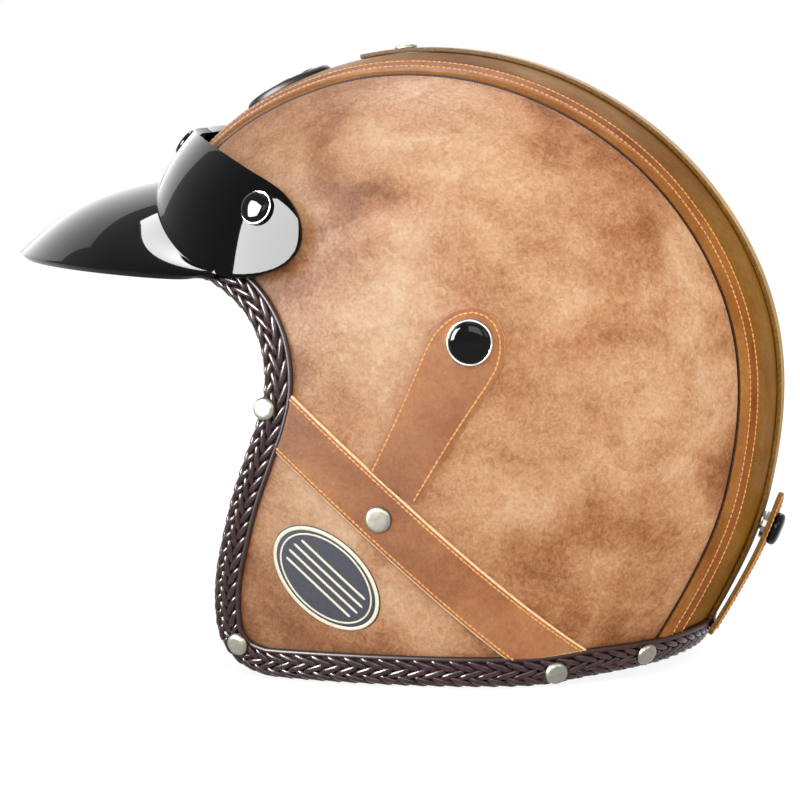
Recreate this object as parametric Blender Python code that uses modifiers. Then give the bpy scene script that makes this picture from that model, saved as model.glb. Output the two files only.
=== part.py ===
"""Open-face motorcycle helmet: a leather-covered shell and its peak, in metres, +Z up.

The helmet faces -Y and stands on the trim of its lower edge. +X is the wearer's left side.
The origin is on the table, under the middle of the helmet's length and width.
Every layer is the same rounded form, taken in or let out by its depth under the leather.
"""

import math

import bmesh
import bpy
from mathutils import Matrix, Vector

# The form of the leather's outer face, round the middle of the head
CROWN_RADIUS = 0.1085
HALF_WIDTH = 0.109
HEAD_HEIGHT = 0.142
HEAD_BACK = 0.032
ROUNDNESS = 2.4
# Radius of the side view every thirty degrees: back, then up over the crown, front and down
RIM_RADIUS_SHARES = (1.138, 1.018, 0.968, 1.0, 1.101, 1.23, 1.272, 1.567, 1.935, 2.166, 1.558, 1.29)
SEGMENTS_AROUND = 36
SEGMENTS_ACROSS = 18
# The pads' crowned faces are finer
PAD_SEGMENTS_AROUND = 72
PAD_SEGMENTS_ACROSS = 36
# Step either side of a place, in radians and in places across, that its normal is read over
NORMAL_STEP = 0.01

# Layers, each a depth under the leather's outer face
LEATHER = 0.0016
GAP = 0.0003
SHELL_WALL = 0.003
FOAM_WALL = 0.018
LINING = 0.0065

# Cheek pads and neck pad: thin at the rim and crowned in the middle
CHEEK_RIM = 0.006
CHEEK_CROWN = 0.01
NECK_RIM = 0.005
NECK_CROWN = 0.008
PAD_FALL = 3
PAD_TOP_SHARE = 0.68
CHEEK_BACK_SHARE = -0.305
CHEEK_FRONT_SHARE = -0.802
NECK_FRONT_SHARE = 0.23

# Edge of the helmet in the side view: (back of the head centre, height), brow to nape
# as shares of the crown radius and of the head height
EDGE_SHARES = (
    (-1.85, 1.134),
    (-1.11, 1.134),
    (-0.894, 1.134),
    (-0.737, 1.07),
    (-0.65, 0.979),
    (-0.622, 0.866),
    (-0.645, 0.768),
    (-0.7, 0.655),
    (-0.756, 0.542),
    (-0.802, 0.423),
    (-0.839, 0.31),
    (-0.853, 0.204),
    (-0.839, 0.113),
    (-0.774, 0.042),
    (-0.673, 0.007),
    (-0.571, 0.0),
    (-0.25, 0.0),
    (0.323, 0.0),
    (0.535, 0.018),
    (0.737, 0.035),
    (0.922, 0.056),
    (1.5, 0.09),
)
EDGE_STEPS = 2
CUT_REACH = 0.32

# Braided trim over the edge
TRIM_COVER = 0.0135
TRIM_PROUD = 0.0035
TRIM_WEB = 0.004
TRIM_LIP = 0.008
LINING_INSET = 0.008

# Leather work
SEAM_HALF = 0.052
WELT_WIDTH = 0.0065
WELT_PROUD = 0.0012
CROWN_STRAP_WIDTH = 0.011
CROWN_STRAP_PROUD = 0.002
CROWN_STRAP_FRONT_SHARE = -0.424
STRAP_WIDTH = 0.022
STRAP_PROUD = 0.0021
STRAP_FRONT_SHARES = (-0.535, 0.746)
STRAP_BACK_SHARES = (0.392, 0.109)
STRAP_OVERRUN = 0.035
TAB_FOOT_SHARES = (-0.12, 0.581)
TAB_SNAP_SHARES = (0.166, 0.986)
TAB_LENGTH = 0.079
TAB_WIDTH = 0.031
# Half of the tab's outline: (half width, length), as shares of the tab's own sizes
TAB_OUTLINE_SHARES = (
    (0.74, -0.1),
    (0.85, 0.35),
    (1.0, 0.7),
    (0.95, 0.82),
    (0.72, 0.92),
    (0.34, 0.985),
    (0.0, 1.0),
)
BADGE_SHARES = (-0.387, 0.31)
BADGE_LENGTH = 0.052
BADGE_HEIGHT = 0.033
BADGE_PROUD = 0.0014
BADGE_POINTS = 28
PLAQUE_ANGLE = math.radians(130.5)
PLAQUE_LENGTH = 0.04
PLAQUE_WIDTH = 0.026
PLAQUE_PROUD = 0.0036

# Rivets and press studs
RIVET_RADIUS = 0.0047
RIVET_HEIGHT = 0.0018
STRAP_RIVET_RADIUS = 0.0052
TRIM_RIVET_SHARES = (
    ("upper", -0.6, 0.787),
    ("front", -0.742, 0.106),
    ("lower", 0.433, 0.052),
    ("back", 0.722, 0.088),
)
STRAP_RIVET_SHARES = (-0.175, 0.486)
CROWN_RIVET_ANGLE = math.radians(105.5)
TAB_CAP_RADIUS = 0.0074
TAB_CAP_HEIGHT = 0.0042
TAB_RIM_RADIUS = 0.009
TAB_RIM_HEIGHT = 0.0022
STUD_RADIUS = 0.004
STUD_BASE = 0.0007
STUD_POST_RADIUS = 0.0018
STUD_POST_SHARE = 0.62
SOCKET_RADIUS = 0.0058
SOCKET_BORE_RADIUS = 0.0049
PEAK_CAP_RADIUS = 0.007
PEAK_CAP_HEIGHT = 0.0042
ROUND_STEPS = 14
DOME_STEPS = 2
DOME_EDGE_SHARE = 0.3
CUT_OVERRUN = 0.001
WELD_DISTANCE = 0.00002

# Peak: a flange that wraps the brow and a bill that springs from its crease
PEAK_STANDOFF = 0.005
PEAK_WALL = 0.003
PEAK_COLUMNS = 24
PEAK_FLANGE_ROWS = 4
PEAK_BILL_ROWS = 7
PEAK_BILL_COLUMN_SHARE = 0.75
# Place across the helmet where the bill ends and where the flange's side lobes end
BILL_ACROSS = 0.6
LOBE_ACROSS = 0.757
LOBE_END_SHARE = 0.2
# Turns round the head to the flange's upper edge and to its crease, from the middle to the lobe end,
# as shares of half a turn
FLANGE_TOP_SHARES = (0.813, 0.801, 0.779, 0.741)
FLANGE_LOW_SHARES = (0.866, 0.88, 0.914, 0.922)
BILL_LENGTH = 0.097
BILL_HALF_WIDTH = 0.098
BILL_ROOT_SHARES = (-0.894, 1.152)
BILL_TIP_RISE = 0.0045
BILL_CROWN = 0.0065
BILL_CROWN_LEAN = math.radians(30)
PEAK_SIDE_SNAP_SHARES = (-0.618, 1.327)
PEAK_CENTRE_SNAP_ANGLE = math.radians(150.8)
SNAP_PLACES = ("centre", "left", "right")

# Strap that holds a goggle band at the back
RETAINER_WIDTH = 0.019
RETAINER_THICKNESS = 0.0018
RETAINER_LAP = 0.00605
RETAINER_TURN = math.radians(23.4)
RETAINER_FOOT_LIFT = 0.0038
RETAINER_TIP_LIFT = 0.0063
RETAINER_CURL = 1.5
RETAINER_SNAP_SHARE = 0.76
RETAINER_STEPS = 10

# Chin strap, buckled and drawn up inside the lower opening
CHIN_PIVOT_SHARES = (-0.175, 0.486)
WEBBING_WIDTH = 0.022
WEBBING_THICKNESS = 0.0018
WEBBING_LOW = 0.011
# Half of the hanging loop: (across, height), as shares from the middle to the anchor
LOOP_SHARES = ((0.42, 0.02), (0.6, 0.1), (0.77, 0.26), (0.9, 0.5), (0.97, 0.76), (1.0, 1.13))
LOOP_STEPS = 3
ANCHOR_RADIUS = 0.008
ANCHOR_THICKNESS = 0.0015
BUCKLE_LENGTH = 0.04
BUCKLE_WIDTH = 0.027
BUCKLE_HEIGHT = 0.009
BUCKLE_WALL = 0.0013
TONGUE_THICKNESS = 0.0012
TONGUE_LENGTH = 0.032
TONGUE_TOOTH = 0.0006
TONGUE_TEETH = 6
TONGUE_TOOTHED_SHARE = 0.5
LEVER_THICKNESS = 0.0014
LEVER_BARREL_RADIUS = 0.0018
PULL_LENGTH = 0.016
PULL_WIDTH = 0.012
PULL_THICKNESS = 0.001

PARTS = bpy.data.collections.new("open_face_helmet")
CUTTERS = bpy.data.collections.new("helmet_cutters")

HEAD = Vector((0.0, HEAD_BACK, HEAD_HEIGHT))
SHELL_DEPTH = LEATHER + GAP
FOAM_DEPTH = SHELL_DEPTH + SHELL_WALL + GAP
LINING_DEPTH = FOAM_DEPTH + FOAM_WALL + GAP


def clear_scene():
    for obj in list(bpy.data.objects):
        bpy.data.objects.remove(obj)
    for collection in (PARTS, CUTTERS):
        bpy.context.scene.collection.children.link(collection)


def principled(name, colour, roughness, metallic=0.0, coat=0.0):
    material = bpy.data.materials.new(name)
    material.use_nodes = True
    shader = material.node_tree.nodes["Principled BSDF"]
    shader.inputs["Base Color"].default_value = (*colour, 1.0)
    shader.inputs["Roughness"].default_value = roughness
    shader.inputs["Metallic"].default_value = metallic
    shader.inputs["Coat Weight"].default_value = coat
    material.diffuse_color = (*colour, 1.0)
    return material


def make_materials():
    return {
        "panel": principled("tan_leather", (0.47, 0.25, 0.13), 0.55),
        "band": principled("olive_leather", (0.38, 0.27, 0.12), 0.58),
        "welt": principled("pale_leather", (0.6, 0.36, 0.17), 0.5),
        "braid": principled("dark_braid", (0.03, 0.018, 0.016), 0.35),
        "shell": principled("shell_resin", (0.05, 0.05, 0.05), 0.4),
        "foam": principled("liner_foam", (0.04, 0.04, 0.045), 0.8),
        "lining": principled("lining_fabric", (0.06, 0.035, 0.025), 0.85),
        "gloss": principled("peak_plastic", (0.012, 0.012, 0.012), 0.08, coat=0.6),
        "nickel": principled("nickel", (0.75, 0.74, 0.71), 0.22, metallic=1.0),
        "dark": principled("dark_metal", (0.09, 0.085, 0.08), 0.3, metallic=1.0),
        "badge": principled("badge_cloth", (0.02, 0.022, 0.045), 0.7),
        "webbing": principled("webbing", (0.02, 0.02, 0.02), 0.75),
        "pull": principled("pull_tape", (0.42, 0.03, 0.025), 0.7),
    }


# Form of the helmet


def rim_radius(angle):
    """Radius of the side view at an angle, on a smooth curve through the shares."""
    count = len(RIM_RADIUS_SHARES)
    turn = (angle / math.tau) % 1.0 * count
    first = int(turn)
    part = turn - first
    before, here, after, beyond = (RIM_RADIUS_SHARES[(first + k) % count] for k in (-1, 0, 1, 2))
    return CROWN_RADIUS * smooth_step(before, here, after, beyond, part)


def smooth_step(before, here, after, beyond, part):
    """A value between here and after on the smooth curve that passes through all four."""
    slope_here = (after - before) / 2
    slope_after = (beyond - here) / 2
    blend = part * part * (3 - 2 * part)
    return (
        here * (1 - blend)
        + after * blend
        + slope_here * part * (1 - part) ** 2
        - slope_after * part * part * (1 - part)
    )


def skin_point(angle, across, depth=0.0):
    """Point at an angle round the head and a place from the middle, 0, to the ear, 1 or -1."""
    turn = abs(across) * math.pi / 2
    side = math.copysign(math.sin(turn) ** (2 / ROUNDNESS), across)
    reach = (rim_radius(angle) - depth) * max(math.cos(turn), 0.0) ** (2 / ROUNDNESS)
    return HEAD + Vector(((HALF_WIDTH - depth) * side, reach * math.cos(angle), reach * math.sin(angle)))


def skin_place(back, height, depth=0.0):
    """Angle and place across of the surface point that the side view shows at back, height."""
    angle = math.atan2(height - HEAD_HEIGHT, back)
    reach = math.hypot(back, height - HEAD_HEIGHT) / (rim_radius(angle) - depth)
    return angle, math.acos(min(reach, 1.0) ** (ROUNDNESS / 2)) * 2 / math.pi


def skin_frame(angle, across, lift=0.0):
    """Matrix that stands an object's Z along the outward normal, lift above the leather."""
    along = skin_point(angle + NORMAL_STEP, across) - skin_point(angle - NORMAL_STEP, across)
    over = skin_point(angle, across + NORMAL_STEP) - skin_point(angle, across - NORMAL_STEP)
    normal = over.cross(along).normalized()
    point = skin_point(angle, across)
    if normal.dot(point - HEAD) < 0:
        normal.negate()
    turned = normal.to_track_quat("Z", "Y").to_matrix().to_4x4()
    return Matrix.Translation(point + normal * lift) @ turned


def side_frame(shares, side, lift=0.0):
    """Frame on the skin at a place given in shares of the side view, on one side."""
    back, height = side_place(shares)
    angle, across = skin_place(back, height)
    return skin_frame(angle, side * across, lift)


def side_place(shares):
    return shares[0] * CROWN_RADIUS, shares[1] * HEAD_HEIGHT


# Outlines in the side view, as (back of the head centre, height)


def smooth_line(points, steps):
    """The points with a smooth curve between them, steps pieces to each stretch."""
    line = []
    last = len(points) - 1
    for index in range(last):
        four = [points[min(max(index + k, 0), last)] for k in (-1, 0, 1, 2)]
        for step in range(steps):
            line.append(tuple(smooth_step(*(p[axis] for p in four), step / steps) for axis in (0, 1)))
    line.append(points[-1])
    return line


def offset_line(line, distance):
    """The line moved to its left by a distance."""
    moved = []
    for index, (first, second) in enumerate(line):
        ahead = line[min(index + 1, len(line) - 1)]
        behind = line[max(index - 1, 0)]
        run, rise = ahead[0] - behind[0], ahead[1] - behind[1]
        length = math.hypot(run, rise)
        moved.append((first - rise / length * distance, second + run / length * distance))
    return moved


def edge_line(inset=0.0):
    """The helmet's edge from brow to nape, moved inwards. It stands flat on the table."""
    corners = [side_place(shares) for shares in EDGE_SHARES]
    line = [(back, max(height, 0.0)) for back, height in smooth_line(corners, EDGE_STEPS)]
    return offset_line(line, inset)


def region(line):
    """Outline of all that lies above and behind a line from brow to nape."""
    start, end = line[0][1], line[-1][1]
    corners = ((CUT_REACH, end), (CUT_REACH, CUT_REACH), (-CUT_REACH, CUT_REACH), (-CUT_REACH, start))
    return [*line, *corners]


def strip(line, width):
    """Outline of a band of one width, with the line along its middle."""
    return offset_line(line, -width / 2) + offset_line(line, width / 2)[::-1]


# Solids and cuts


def add_object(name, data, material=None, collection=None):
    obj = bpy.data.objects.new(name, data)
    (collection or PARTS).objects.link(obj)
    if material:
        obj.data.materials.append(material)
    return obj


def as_cutter(obj):
    obj.hide_render = True
    obj.display_type = "WIRE"
    return obj


def mesh_object(name, bm, material=None, collection=None):
    mesh = bpy.data.meshes.new(name)
    bm.to_mesh(mesh)
    bm.free()
    return add_object(name, mesh, material, collection)


def cut(obj, tool, operation="DIFFERENCE"):
    """Takes the cutter away from the object, or with another operation joins or keeps it."""
    modifier = obj.modifiers.new(operation.title() + " " + tool.name, "BOOLEAN")
    modifier.operation = operation
    modifier.solver = "EXACT"
    modifier.object = tool


def face_outwards(bm):
    bmesh.ops.recalc_face_normals(bm, faces=bm.faces)
    if bm.calc_volume(signed=True) < 0:
        bmesh.ops.reverse_faces(bm, faces=bm.faces)


def prism(name, outline, low, high, across="X", material=None, collection=None):
    """A flat outline drawn out between two places along X, or along Y for across='Y'."""
    curve = bpy.data.curves.new(name, "CURVE")
    curve.dimensions = "2D"
    curve.fill_mode = "BOTH"
    curve.extrude = (high - low) / 2
    spline = curve.splines.new("POLY")
    spline.points.add(len(outline) - 1)
    for point, (first, second) in zip(spline.points, outline):
        point.co = (first, second, 0.0, 1.0)
    spline.use_cyclic_u = True
    drawn = bpy.data.objects.new(name + "_outline", curve)
    bpy.context.scene.collection.objects.link(drawn)
    graph = bpy.context.evaluated_depsgraph_get()
    mesh = bpy.data.meshes.new_from_object(drawn.evaluated_get(graph))
    bpy.data.objects.remove(drawn)
    middle = (low + high) / 2
    if across == "X":
        turned = Matrix(((0, 0, 1, middle), (1, 0, 0, HEAD_BACK), (0, 1, 0, 0), (0, 0, 0, 1)))
    else:
        turned = Matrix(((1, 0, 0, 0), (0, 0, -1, HEAD_BACK + middle), (0, 1, 0, 0), (0, 0, 0, 1)))
    bm = bmesh.new()
    bm.from_mesh(mesh)
    bpy.data.meshes.remove(mesh)
    bmesh.ops.remove_doubles(bm, verts=bm.verts, dist=WELD_DISTANCE)
    bm.transform(turned)
    face_outwards(bm)
    return mesh_object(name, bm, material, collection)


def cutting_prism(name, outline, low=-CUT_REACH, high=CUT_REACH, across="X"):
    return as_cutter(prism(name, outline, low, high, across, collection=CUTTERS))


def cutting_box(name, low, high):
    """A box between two corners, given back of the head centre like the outlines."""
    low, high = Vector(low), Vector(high)
    bm = bmesh.new()
    bmesh.ops.create_cube(bm, size=1.0)
    bmesh.ops.scale(bm, vec=high - low, verts=bm.verts)
    bmesh.ops.translate(bm, vec=(low + high) / 2 + Vector((0, HEAD_BACK, 0)), verts=bm.verts)
    return as_cutter(mesh_object(name, bm, collection=CUTTERS))


def add_ball(bm, depth, inside_out=False, crown=None):
    """The helmet's whole form at one depth as a closed ball, its poles at the ears.

    A crown is a function of a point that says how much deeper the face lies there."""
    made = bmesh.ops.create_uvsphere(
        bm,
        u_segments=PAD_SEGMENTS_AROUND if crown else SEGMENTS_AROUND,
        v_segments=PAD_SEGMENTS_ACROSS if crown else SEGMENTS_ACROSS,
        radius=1.0,
    )
    faces = list({face for vert in made["verts"] for face in vert.link_faces})
    for face in faces:
        face.smooth = True
    for vert in made["verts"]:
        angle = math.atan2(vert.co.y, vert.co.x)
        across = math.asin(min(max(vert.co.z, -1.0), 1.0)) * 2 / math.pi
        deeper = crown(skin_point(angle, across, depth)) if crown else 0.0
        vert.co = skin_point(angle, across, depth + deeper)
    if inside_out:
        bmesh.ops.reverse_faces(bm, faces=faces)
    bmesh.ops.triangulate(bm, faces=faces)


def layer(name, outer, inner, material, keep, crown=None):
    """A wall between two depths, kept only inside each of the cutters in keep."""
    bm = bmesh.new()
    add_ball(bm, outer)
    add_ball(bm, inner, inside_out=True, crown=crown)
    obj = mesh_object(name, bm, material)
    for tool in keep:
        cut(obj, tool, "INTERSECT")
    return obj


def turned(name, profile, frame, material, collection=None):
    """A round piece: a profile of (radius, height), from the top down its outside, spun about Z."""
    points = [(radius, 0.0, height) for radius, height in profile]
    edges = [(index, index + 1) for index in range(len(points) - 1)]
    mesh = bpy.data.meshes.new(name)
    mesh.from_pydata(points, edges, [])
    obj = add_object(name, mesh, material, collection)
    screw = obj.modifiers.new("Spin", "SCREW")
    screw.axis = "Z"
    screw.steps = screw.render_steps = ROUND_STEPS
    screw.use_merge_vertices = True
    screw.merge_threshold = WELD_DISTANCE
    screw.use_normal_calculate = False
    obj.matrix_world = frame
    return obj


def dome_profile(radius, height):
    """Profile of a domed head, its flat underside at zero."""
    edge = height * DOME_EDGE_SHARE
    profile = [(0.0, height)]
    for step in range(1, DOME_STEPS + 1):
        turn = math.pi / 2 * step / DOME_STEPS
        profile.append((radius * math.sin(turn), edge + (height - edge) * math.cos(turn)))
    return [*profile, (radius, 0.0), (0.0, 0.0)]


def ring_profile(inner, outer, low, high):
    """Profile of a flat ring, closed at its start."""
    return [(inner, high), (outer, high), (outer, low), (inner, low), (inner, high)]


# The shell and what covers and fills it


def side_name(side):
    return "left" if side > 0 else "right"


def half_space(name, side, start=0.0):
    """Box that keeps one side of the helmet, from a distance off the middle."""
    ends = sorted((side * start, side * CUT_REACH))
    return cutting_box(name, (ends[0], -CUT_REACH, -CUT_REACH), (ends[1], CUT_REACH, CUT_REACH))


def add_shell(materials):
    shell_room = cutting_prism("shell_region", region(edge_line(TRIM_WEB + GAP)))
    layer("outer_shell", SHELL_DEPTH, SHELL_DEPTH + SHELL_WALL, materials["shell"], [shell_room])
    layer("foam_liner", FOAM_DEPTH, FOAM_DEPTH + FOAM_WALL, materials["foam"], [shell_room])


def add_trim(materials):
    edge, cover = edge_line(), edge_line(TRIM_COVER - GAP)
    ring = cutting_prism("trim_region", edge + cover[::-1])
    trim = layer("edge_trim", -TRIM_PROUD, TRIM_LIP, materials["braid"], [ring])
    bm = bmesh.new()
    add_ball(bm, LEATHER)
    room = as_cutter(mesh_object("trim_channel", bm, collection=CUTTERS))
    cut(room, cutting_prism("trim_channel_region", region(edge_line(TRIM_WEB))), "INTERSECT")
    cut(trim, room)


def add_leather(materials):
    """The centre band, a panel for each side and the welts along the seams."""
    covered = cutting_prism("leather_region", region(edge_line(TRIM_COVER)))
    half = SEAM_HALF - GAP / 2
    band = cutting_box("band_width", (-half, -CUT_REACH, -CUT_REACH), (half, CUT_REACH, CUT_REACH))
    layer("leather_band", 0.0, LEATHER, materials["band"], [covered, band])
    for side in (1, -1):
        name = side_name(side)
        panel = half_space("panel_width_" + name, side, SEAM_HALF + GAP / 2)
        layer("leather_panel_" + name, 0.0, LEATHER, materials["panel"], [covered, panel])
        ends = sorted((side * half, side * (half - WELT_WIDTH)))
        strip_room = cutting_box(
            "welt_width_" + name, (ends[0], -CUT_REACH, -CUT_REACH), (ends[1], CUT_REACH, CUT_REACH)
        )
        layer("seam_welt_" + name, -WELT_PROUD, -GAP, materials["welt"], [covered, strip_room])
    return covered


def add_crown_strap(materials, covered):
    half = CROWN_STRAP_WIDTH / 2
    front = CROWN_STRAP_FRONT_SHARE * CROWN_RADIUS
    room = cutting_box("crown_strap_width", (-half, front, 0.0), (half, CUT_REACH, CUT_REACH))
    layer("crown_strap", -CROWN_STRAP_PROUD, -GAP, materials["band"], [covered, room])


def strap_line():
    """Middle of the side strap from the front trim down to the lower trim, run past both ends."""
    front, back = Vector(side_place(STRAP_FRONT_SHARES)), Vector(side_place(STRAP_BACK_SHARES))
    way = (back - front).normalized()
    return [tuple(front - way * STRAP_OVERRUN), tuple(back + way * STRAP_OVERRUN)]


def tab_outline():
    """Outline of the snap tab, from its foot under the side strap to its pointed top."""
    foot, snap = Vector(side_place(TAB_FOOT_SHARES)), Vector(side_place(TAB_SNAP_SHARES))
    way = (snap - foot).normalized()
    square = Vector((way.y, -way.x))
    half = [(TAB_WIDTH / 2 * wide, TAB_LENGTH * long) for wide, long in TAB_OUTLINE_SHARES]
    whole = half + [(-wide, long) for wide, long in half[-2::-1]]
    return [tuple(foot + square * wide + way * long) for wide, long in whole]


def add_side_straps(materials, covered):
    """Each side's diagonal strap and the snap tab that comes up from under it."""
    for side in (1, -1):
        name = side_name(side)
        half = half_space("strap_side_" + name, side, SEAM_HALF)
        room = cutting_prism("strap_region_" + name, strip(strap_line(), STRAP_WIDTH))
        layer("side_strap_" + name, -STRAP_PROUD, -GAP, materials["panel"], [covered, half, room])
        tab_room = cutting_prism("tab_region_" + name, tab_outline())
        tab = layer("snap_tab_" + name, -STRAP_PROUD, -GAP, materials["panel"], [half, tab_room])
        cut(tab, cutting_prism("tab_foot_room_" + name, strip(strap_line(), STRAP_WIDTH + 2 * GAP)))


def add_badge(materials):
    """An oval patch on the wearer's left, its length along the side strap."""
    front, back = (Vector(point) for point in strap_line())
    way = (back - front).normalized()
    square = Vector((-way.y, way.x))
    centre = Vector(side_place(BADGE_SHARES))
    outline = []
    for step in range(BADGE_POINTS):
        turn = math.tau * step / BADGE_POINTS
        long, wide = BADGE_LENGTH / 2 * math.cos(turn), BADGE_HEIGHT / 2 * math.sin(turn)
        outline.append(tuple(centre + way * long + square * wide))
    room = cutting_prism("badge_region", outline, SEAM_HALF)
    layer("side_badge", -BADGE_PROUD, -GAP, materials["badge"], [room])


def add_plaque(materials):
    """The oval metal ornament on the band above the brow."""
    bm = bmesh.new()
    bmesh.ops.create_cone(bm, cap_ends=True, segments=BADGE_POINTS, radius1=1, radius2=1, depth=1)
    size = (PLAQUE_WIDTH / 2, PLAQUE_LENGTH / 2, PLAQUE_LENGTH)
    bmesh.ops.scale(bm, vec=size, verts=bm.verts)
    bm.transform(skin_frame(PLAQUE_ANGLE, 0.0))
    room = as_cutter(mesh_object("plaque_region", bm, collection=CUTTERS))
    layer("brow_plaque", -PLAQUE_PROUD, -GAP, materials["dark"], [room])


def add_padding(materials):
    """The crown lining, a cheek pad for each side and the pad round the neck."""
    inset = cutting_prism("lining_region", region(edge_line(LINING_INSET)))
    pad_top = HEAD_HEIGHT * PAD_TOP_SHARE
    upper = cutting_box("lining_upper", (-CUT_REACH, -CUT_REACH, pad_top + GAP), (CUT_REACH,) * 3)
    layer("comfort_lining", LINING_DEPTH, LINING_DEPTH + LINING, materials["lining"], [inset, upper])
    cheek_back, cheek_front = CROWN_RADIUS * CHEEK_BACK_SHARE, CROWN_RADIUS * CHEEK_FRONT_SHARE
    cheek_middle = ((cheek_front + cheek_back) / 2, pad_top / 2)
    cheek_reach = (cheek_back - cheek_front) / 2

    def cheek_crown(point):
        back, height = point.y - HEAD_BACK - cheek_middle[0], point.z - cheek_middle[1]
        away = min(math.hypot(back / cheek_reach, height / cheek_middle[1]), 1.0)
        return CHEEK_CROWN * (1 - away**PAD_FALL)

    for side in (1, -1):
        name = side_name(side)
        ends = sorted((side * SEAM_HALF, side * CUT_REACH))
        room = cutting_box("cheek_" + name, (ends[0], -CUT_REACH, 0.0), (ends[1], cheek_back, pad_top))
        layer(
            "cheek_pad_" + name,
            LINING_DEPTH,
            LINING_DEPTH + CHEEK_RIM,
            materials["lining"],
            [room, inset],
            cheek_crown,
        )
    neck_start = (-CUT_REACH, CROWN_RADIUS * NECK_FRONT_SHARE, 0.0)
    neck_room = cutting_box("neck_room", neck_start, (CUT_REACH, CUT_REACH, pad_top))

    def neck_crown(point):
        away = min(abs(point.z - pad_top / 2) / (pad_top / 2), 1.0)
        return NECK_CROWN * (1 - away**PAD_FALL)

    keep = [neck_room, inset]
    layer("neck_pad", LINING_DEPTH, LINING_DEPTH + NECK_RIM, materials["lining"], keep, neck_crown)


def add_rivets(materials):
    """The heads that hold the trim, the side straps and the crown strap."""
    nickel = materials["nickel"]
    head = dome_profile(RIVET_RADIUS, RIVET_HEIGHT)
    strap_head = dome_profile(STRAP_RIVET_RADIUS, RIVET_HEIGHT)
    for side in (1, -1):
        name = side_name(side)
        for place, *shares in TRIM_RIVET_SHARES:
            frame = side_frame(shares, side, TRIM_PROUD + GAP)
            turned(f"trim_rivet_{place}_{name}", head, frame, nickel)
        frame = side_frame(STRAP_RIVET_SHARES, side, STRAP_PROUD + GAP)
        turned("strap_rivet_" + name, strap_head, frame, nickel)
    frame = skin_frame(CROWN_RIVET_ANGLE, 0.0, CROWN_STRAP_PROUD + GAP)
    turned("crown_rivet", head, frame, nickel)


def add_tab_snaps(materials):
    """The button snap on each tab: a bright rim with a black domed cap inside it."""
    cap = dome_profile(TAB_CAP_RADIUS, TAB_CAP_HEIGHT)
    rim = ring_profile(TAB_CAP_RADIUS + GAP, TAB_RIM_RADIUS, 0.0, TAB_RIM_HEIGHT)
    for side in (1, -1):
        name = side_name(side)
        frame = side_frame(TAB_SNAP_SHARES, side, STRAP_PROUD + GAP)
        turned("tab_snap_rim_" + name, rim, frame, materials["nickel"])
        turned("tab_snap_cap_" + name, cap, frame, materials["gloss"])


# The peak


def spread(values, place):
    """Value at a place from 0 to 1 on a smooth curve through evenly spaced values."""
    last = len(values) - 1
    turn = min(max(place, 0.0), 1.0) * last
    first = min(int(turn), last - 1)
    before, here, after, beyond = (values[min(max(first + k, 0), last)] for k in (-1, 0, 1, 2))
    return smooth_step(before, here, after, beyond, turn - first)


def flange_point(across, share):
    """Point of the flange's outer face: share 0 at its upper edge, 1 at its crease."""
    lift = -(PEAK_STANDOFF + PEAK_WALL)
    size = abs(across)
    place = size / LOBE_ACROSS
    top, low = (math.pi * spread(shares, place) for shares in (FLANGE_TOP_SHARES, FLANGE_LOW_SHARES))
    if size > BILL_ACROSS:
        rounded = (size - BILL_ACROSS) / (LOBE_ACROSS - BILL_ACROSS)
        half = (low - top) / 2 * max(math.sqrt(max(1 - rounded * rounded, 0.0)), LOBE_END_SHARE)
        middle = (low + top) / 2
        top, low = middle - half, middle + half
    return skin_point(top + (low - top) * share, across, lift)


def bill_point(across, share):
    """Point of the bill's upper face: share 0 at the crease, 1 at its front edge."""
    crease = flange_point(across, 1.0)
    turn = across / BILL_ACROSS * math.pi / 2
    root_back, root_height = side_place(BILL_ROOT_SHARES)
    front = Vector(
        (
            BILL_HALF_WIDTH * math.sin(turn),
            HEAD_BACK + root_back - BILL_LENGTH * math.cos(turn),
            root_height + BILL_TIP_RISE * math.cos(turn),
        )
    )
    swell = BILL_CROWN * math.sin(share * math.pi) * math.cos(turn)
    rise = Vector((0.0, -math.sin(BILL_CROWN_LEAN), math.cos(BILL_CROWN_LEAN)))
    return crease.lerp(front, share) + rise * swell


def add_peak(materials):
    """The gloss peak: a grid of the flange's rows and the bill's rows, given its wall inwards."""
    rows = PEAK_FLANGE_ROWS + PEAK_BILL_ROWS
    bm = bmesh.new()
    bmesh.ops.create_grid(bm, x_segments=PEAK_COLUMNS, y_segments=rows, size=1.0)
    spare = []
    for face in bm.faces:
        middle = face.calc_center_median()
        row = (middle.y + 1) / 2 * rows
        if row > PEAK_FLANGE_ROWS and abs(middle.x) > PEAK_BILL_COLUMN_SHARE:
            spare.append(face)
    bmesh.ops.delete(bm, geom=spare, context="FACES")
    for vert in bm.verts:
        column, row = vert.co.x, round((vert.co.y + 1) / 2 * rows)
        side = math.copysign(1.0, column)
        past = (abs(column) - PEAK_BILL_COLUMN_SHARE) / (1 - PEAK_BILL_COLUMN_SHARE)
        if past > 0:
            across = side * (BILL_ACROSS + (LOBE_ACROSS - BILL_ACROSS) * math.sin(past * math.pi / 2))
        else:
            across = BILL_ACROSS * column / PEAK_BILL_COLUMN_SHARE
        if row <= PEAK_FLANGE_ROWS:
            vert.co = flange_point(across, row / PEAK_FLANGE_ROWS)
        else:
            vert.co = bill_point(across, (row - PEAK_FLANGE_ROWS) / PEAK_BILL_ROWS)
    bmesh.ops.recalc_face_normals(bm, faces=bm.faces)
    top = max(bm.faces, key=lambda face: face.calc_center_median().z)
    if top.normal.y > 0:
        bmesh.ops.reverse_faces(bm, faces=bm.faces)
    peak = mesh_object("peak", bm, materials["gloss"])
    wall = peak.modifiers.new("Wall", "SOLIDIFY")
    wall.thickness = PEAK_WALL
    wall.offset = -1.0
    wall.use_even_offset = True
    peak.data.shade_smooth()


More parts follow.
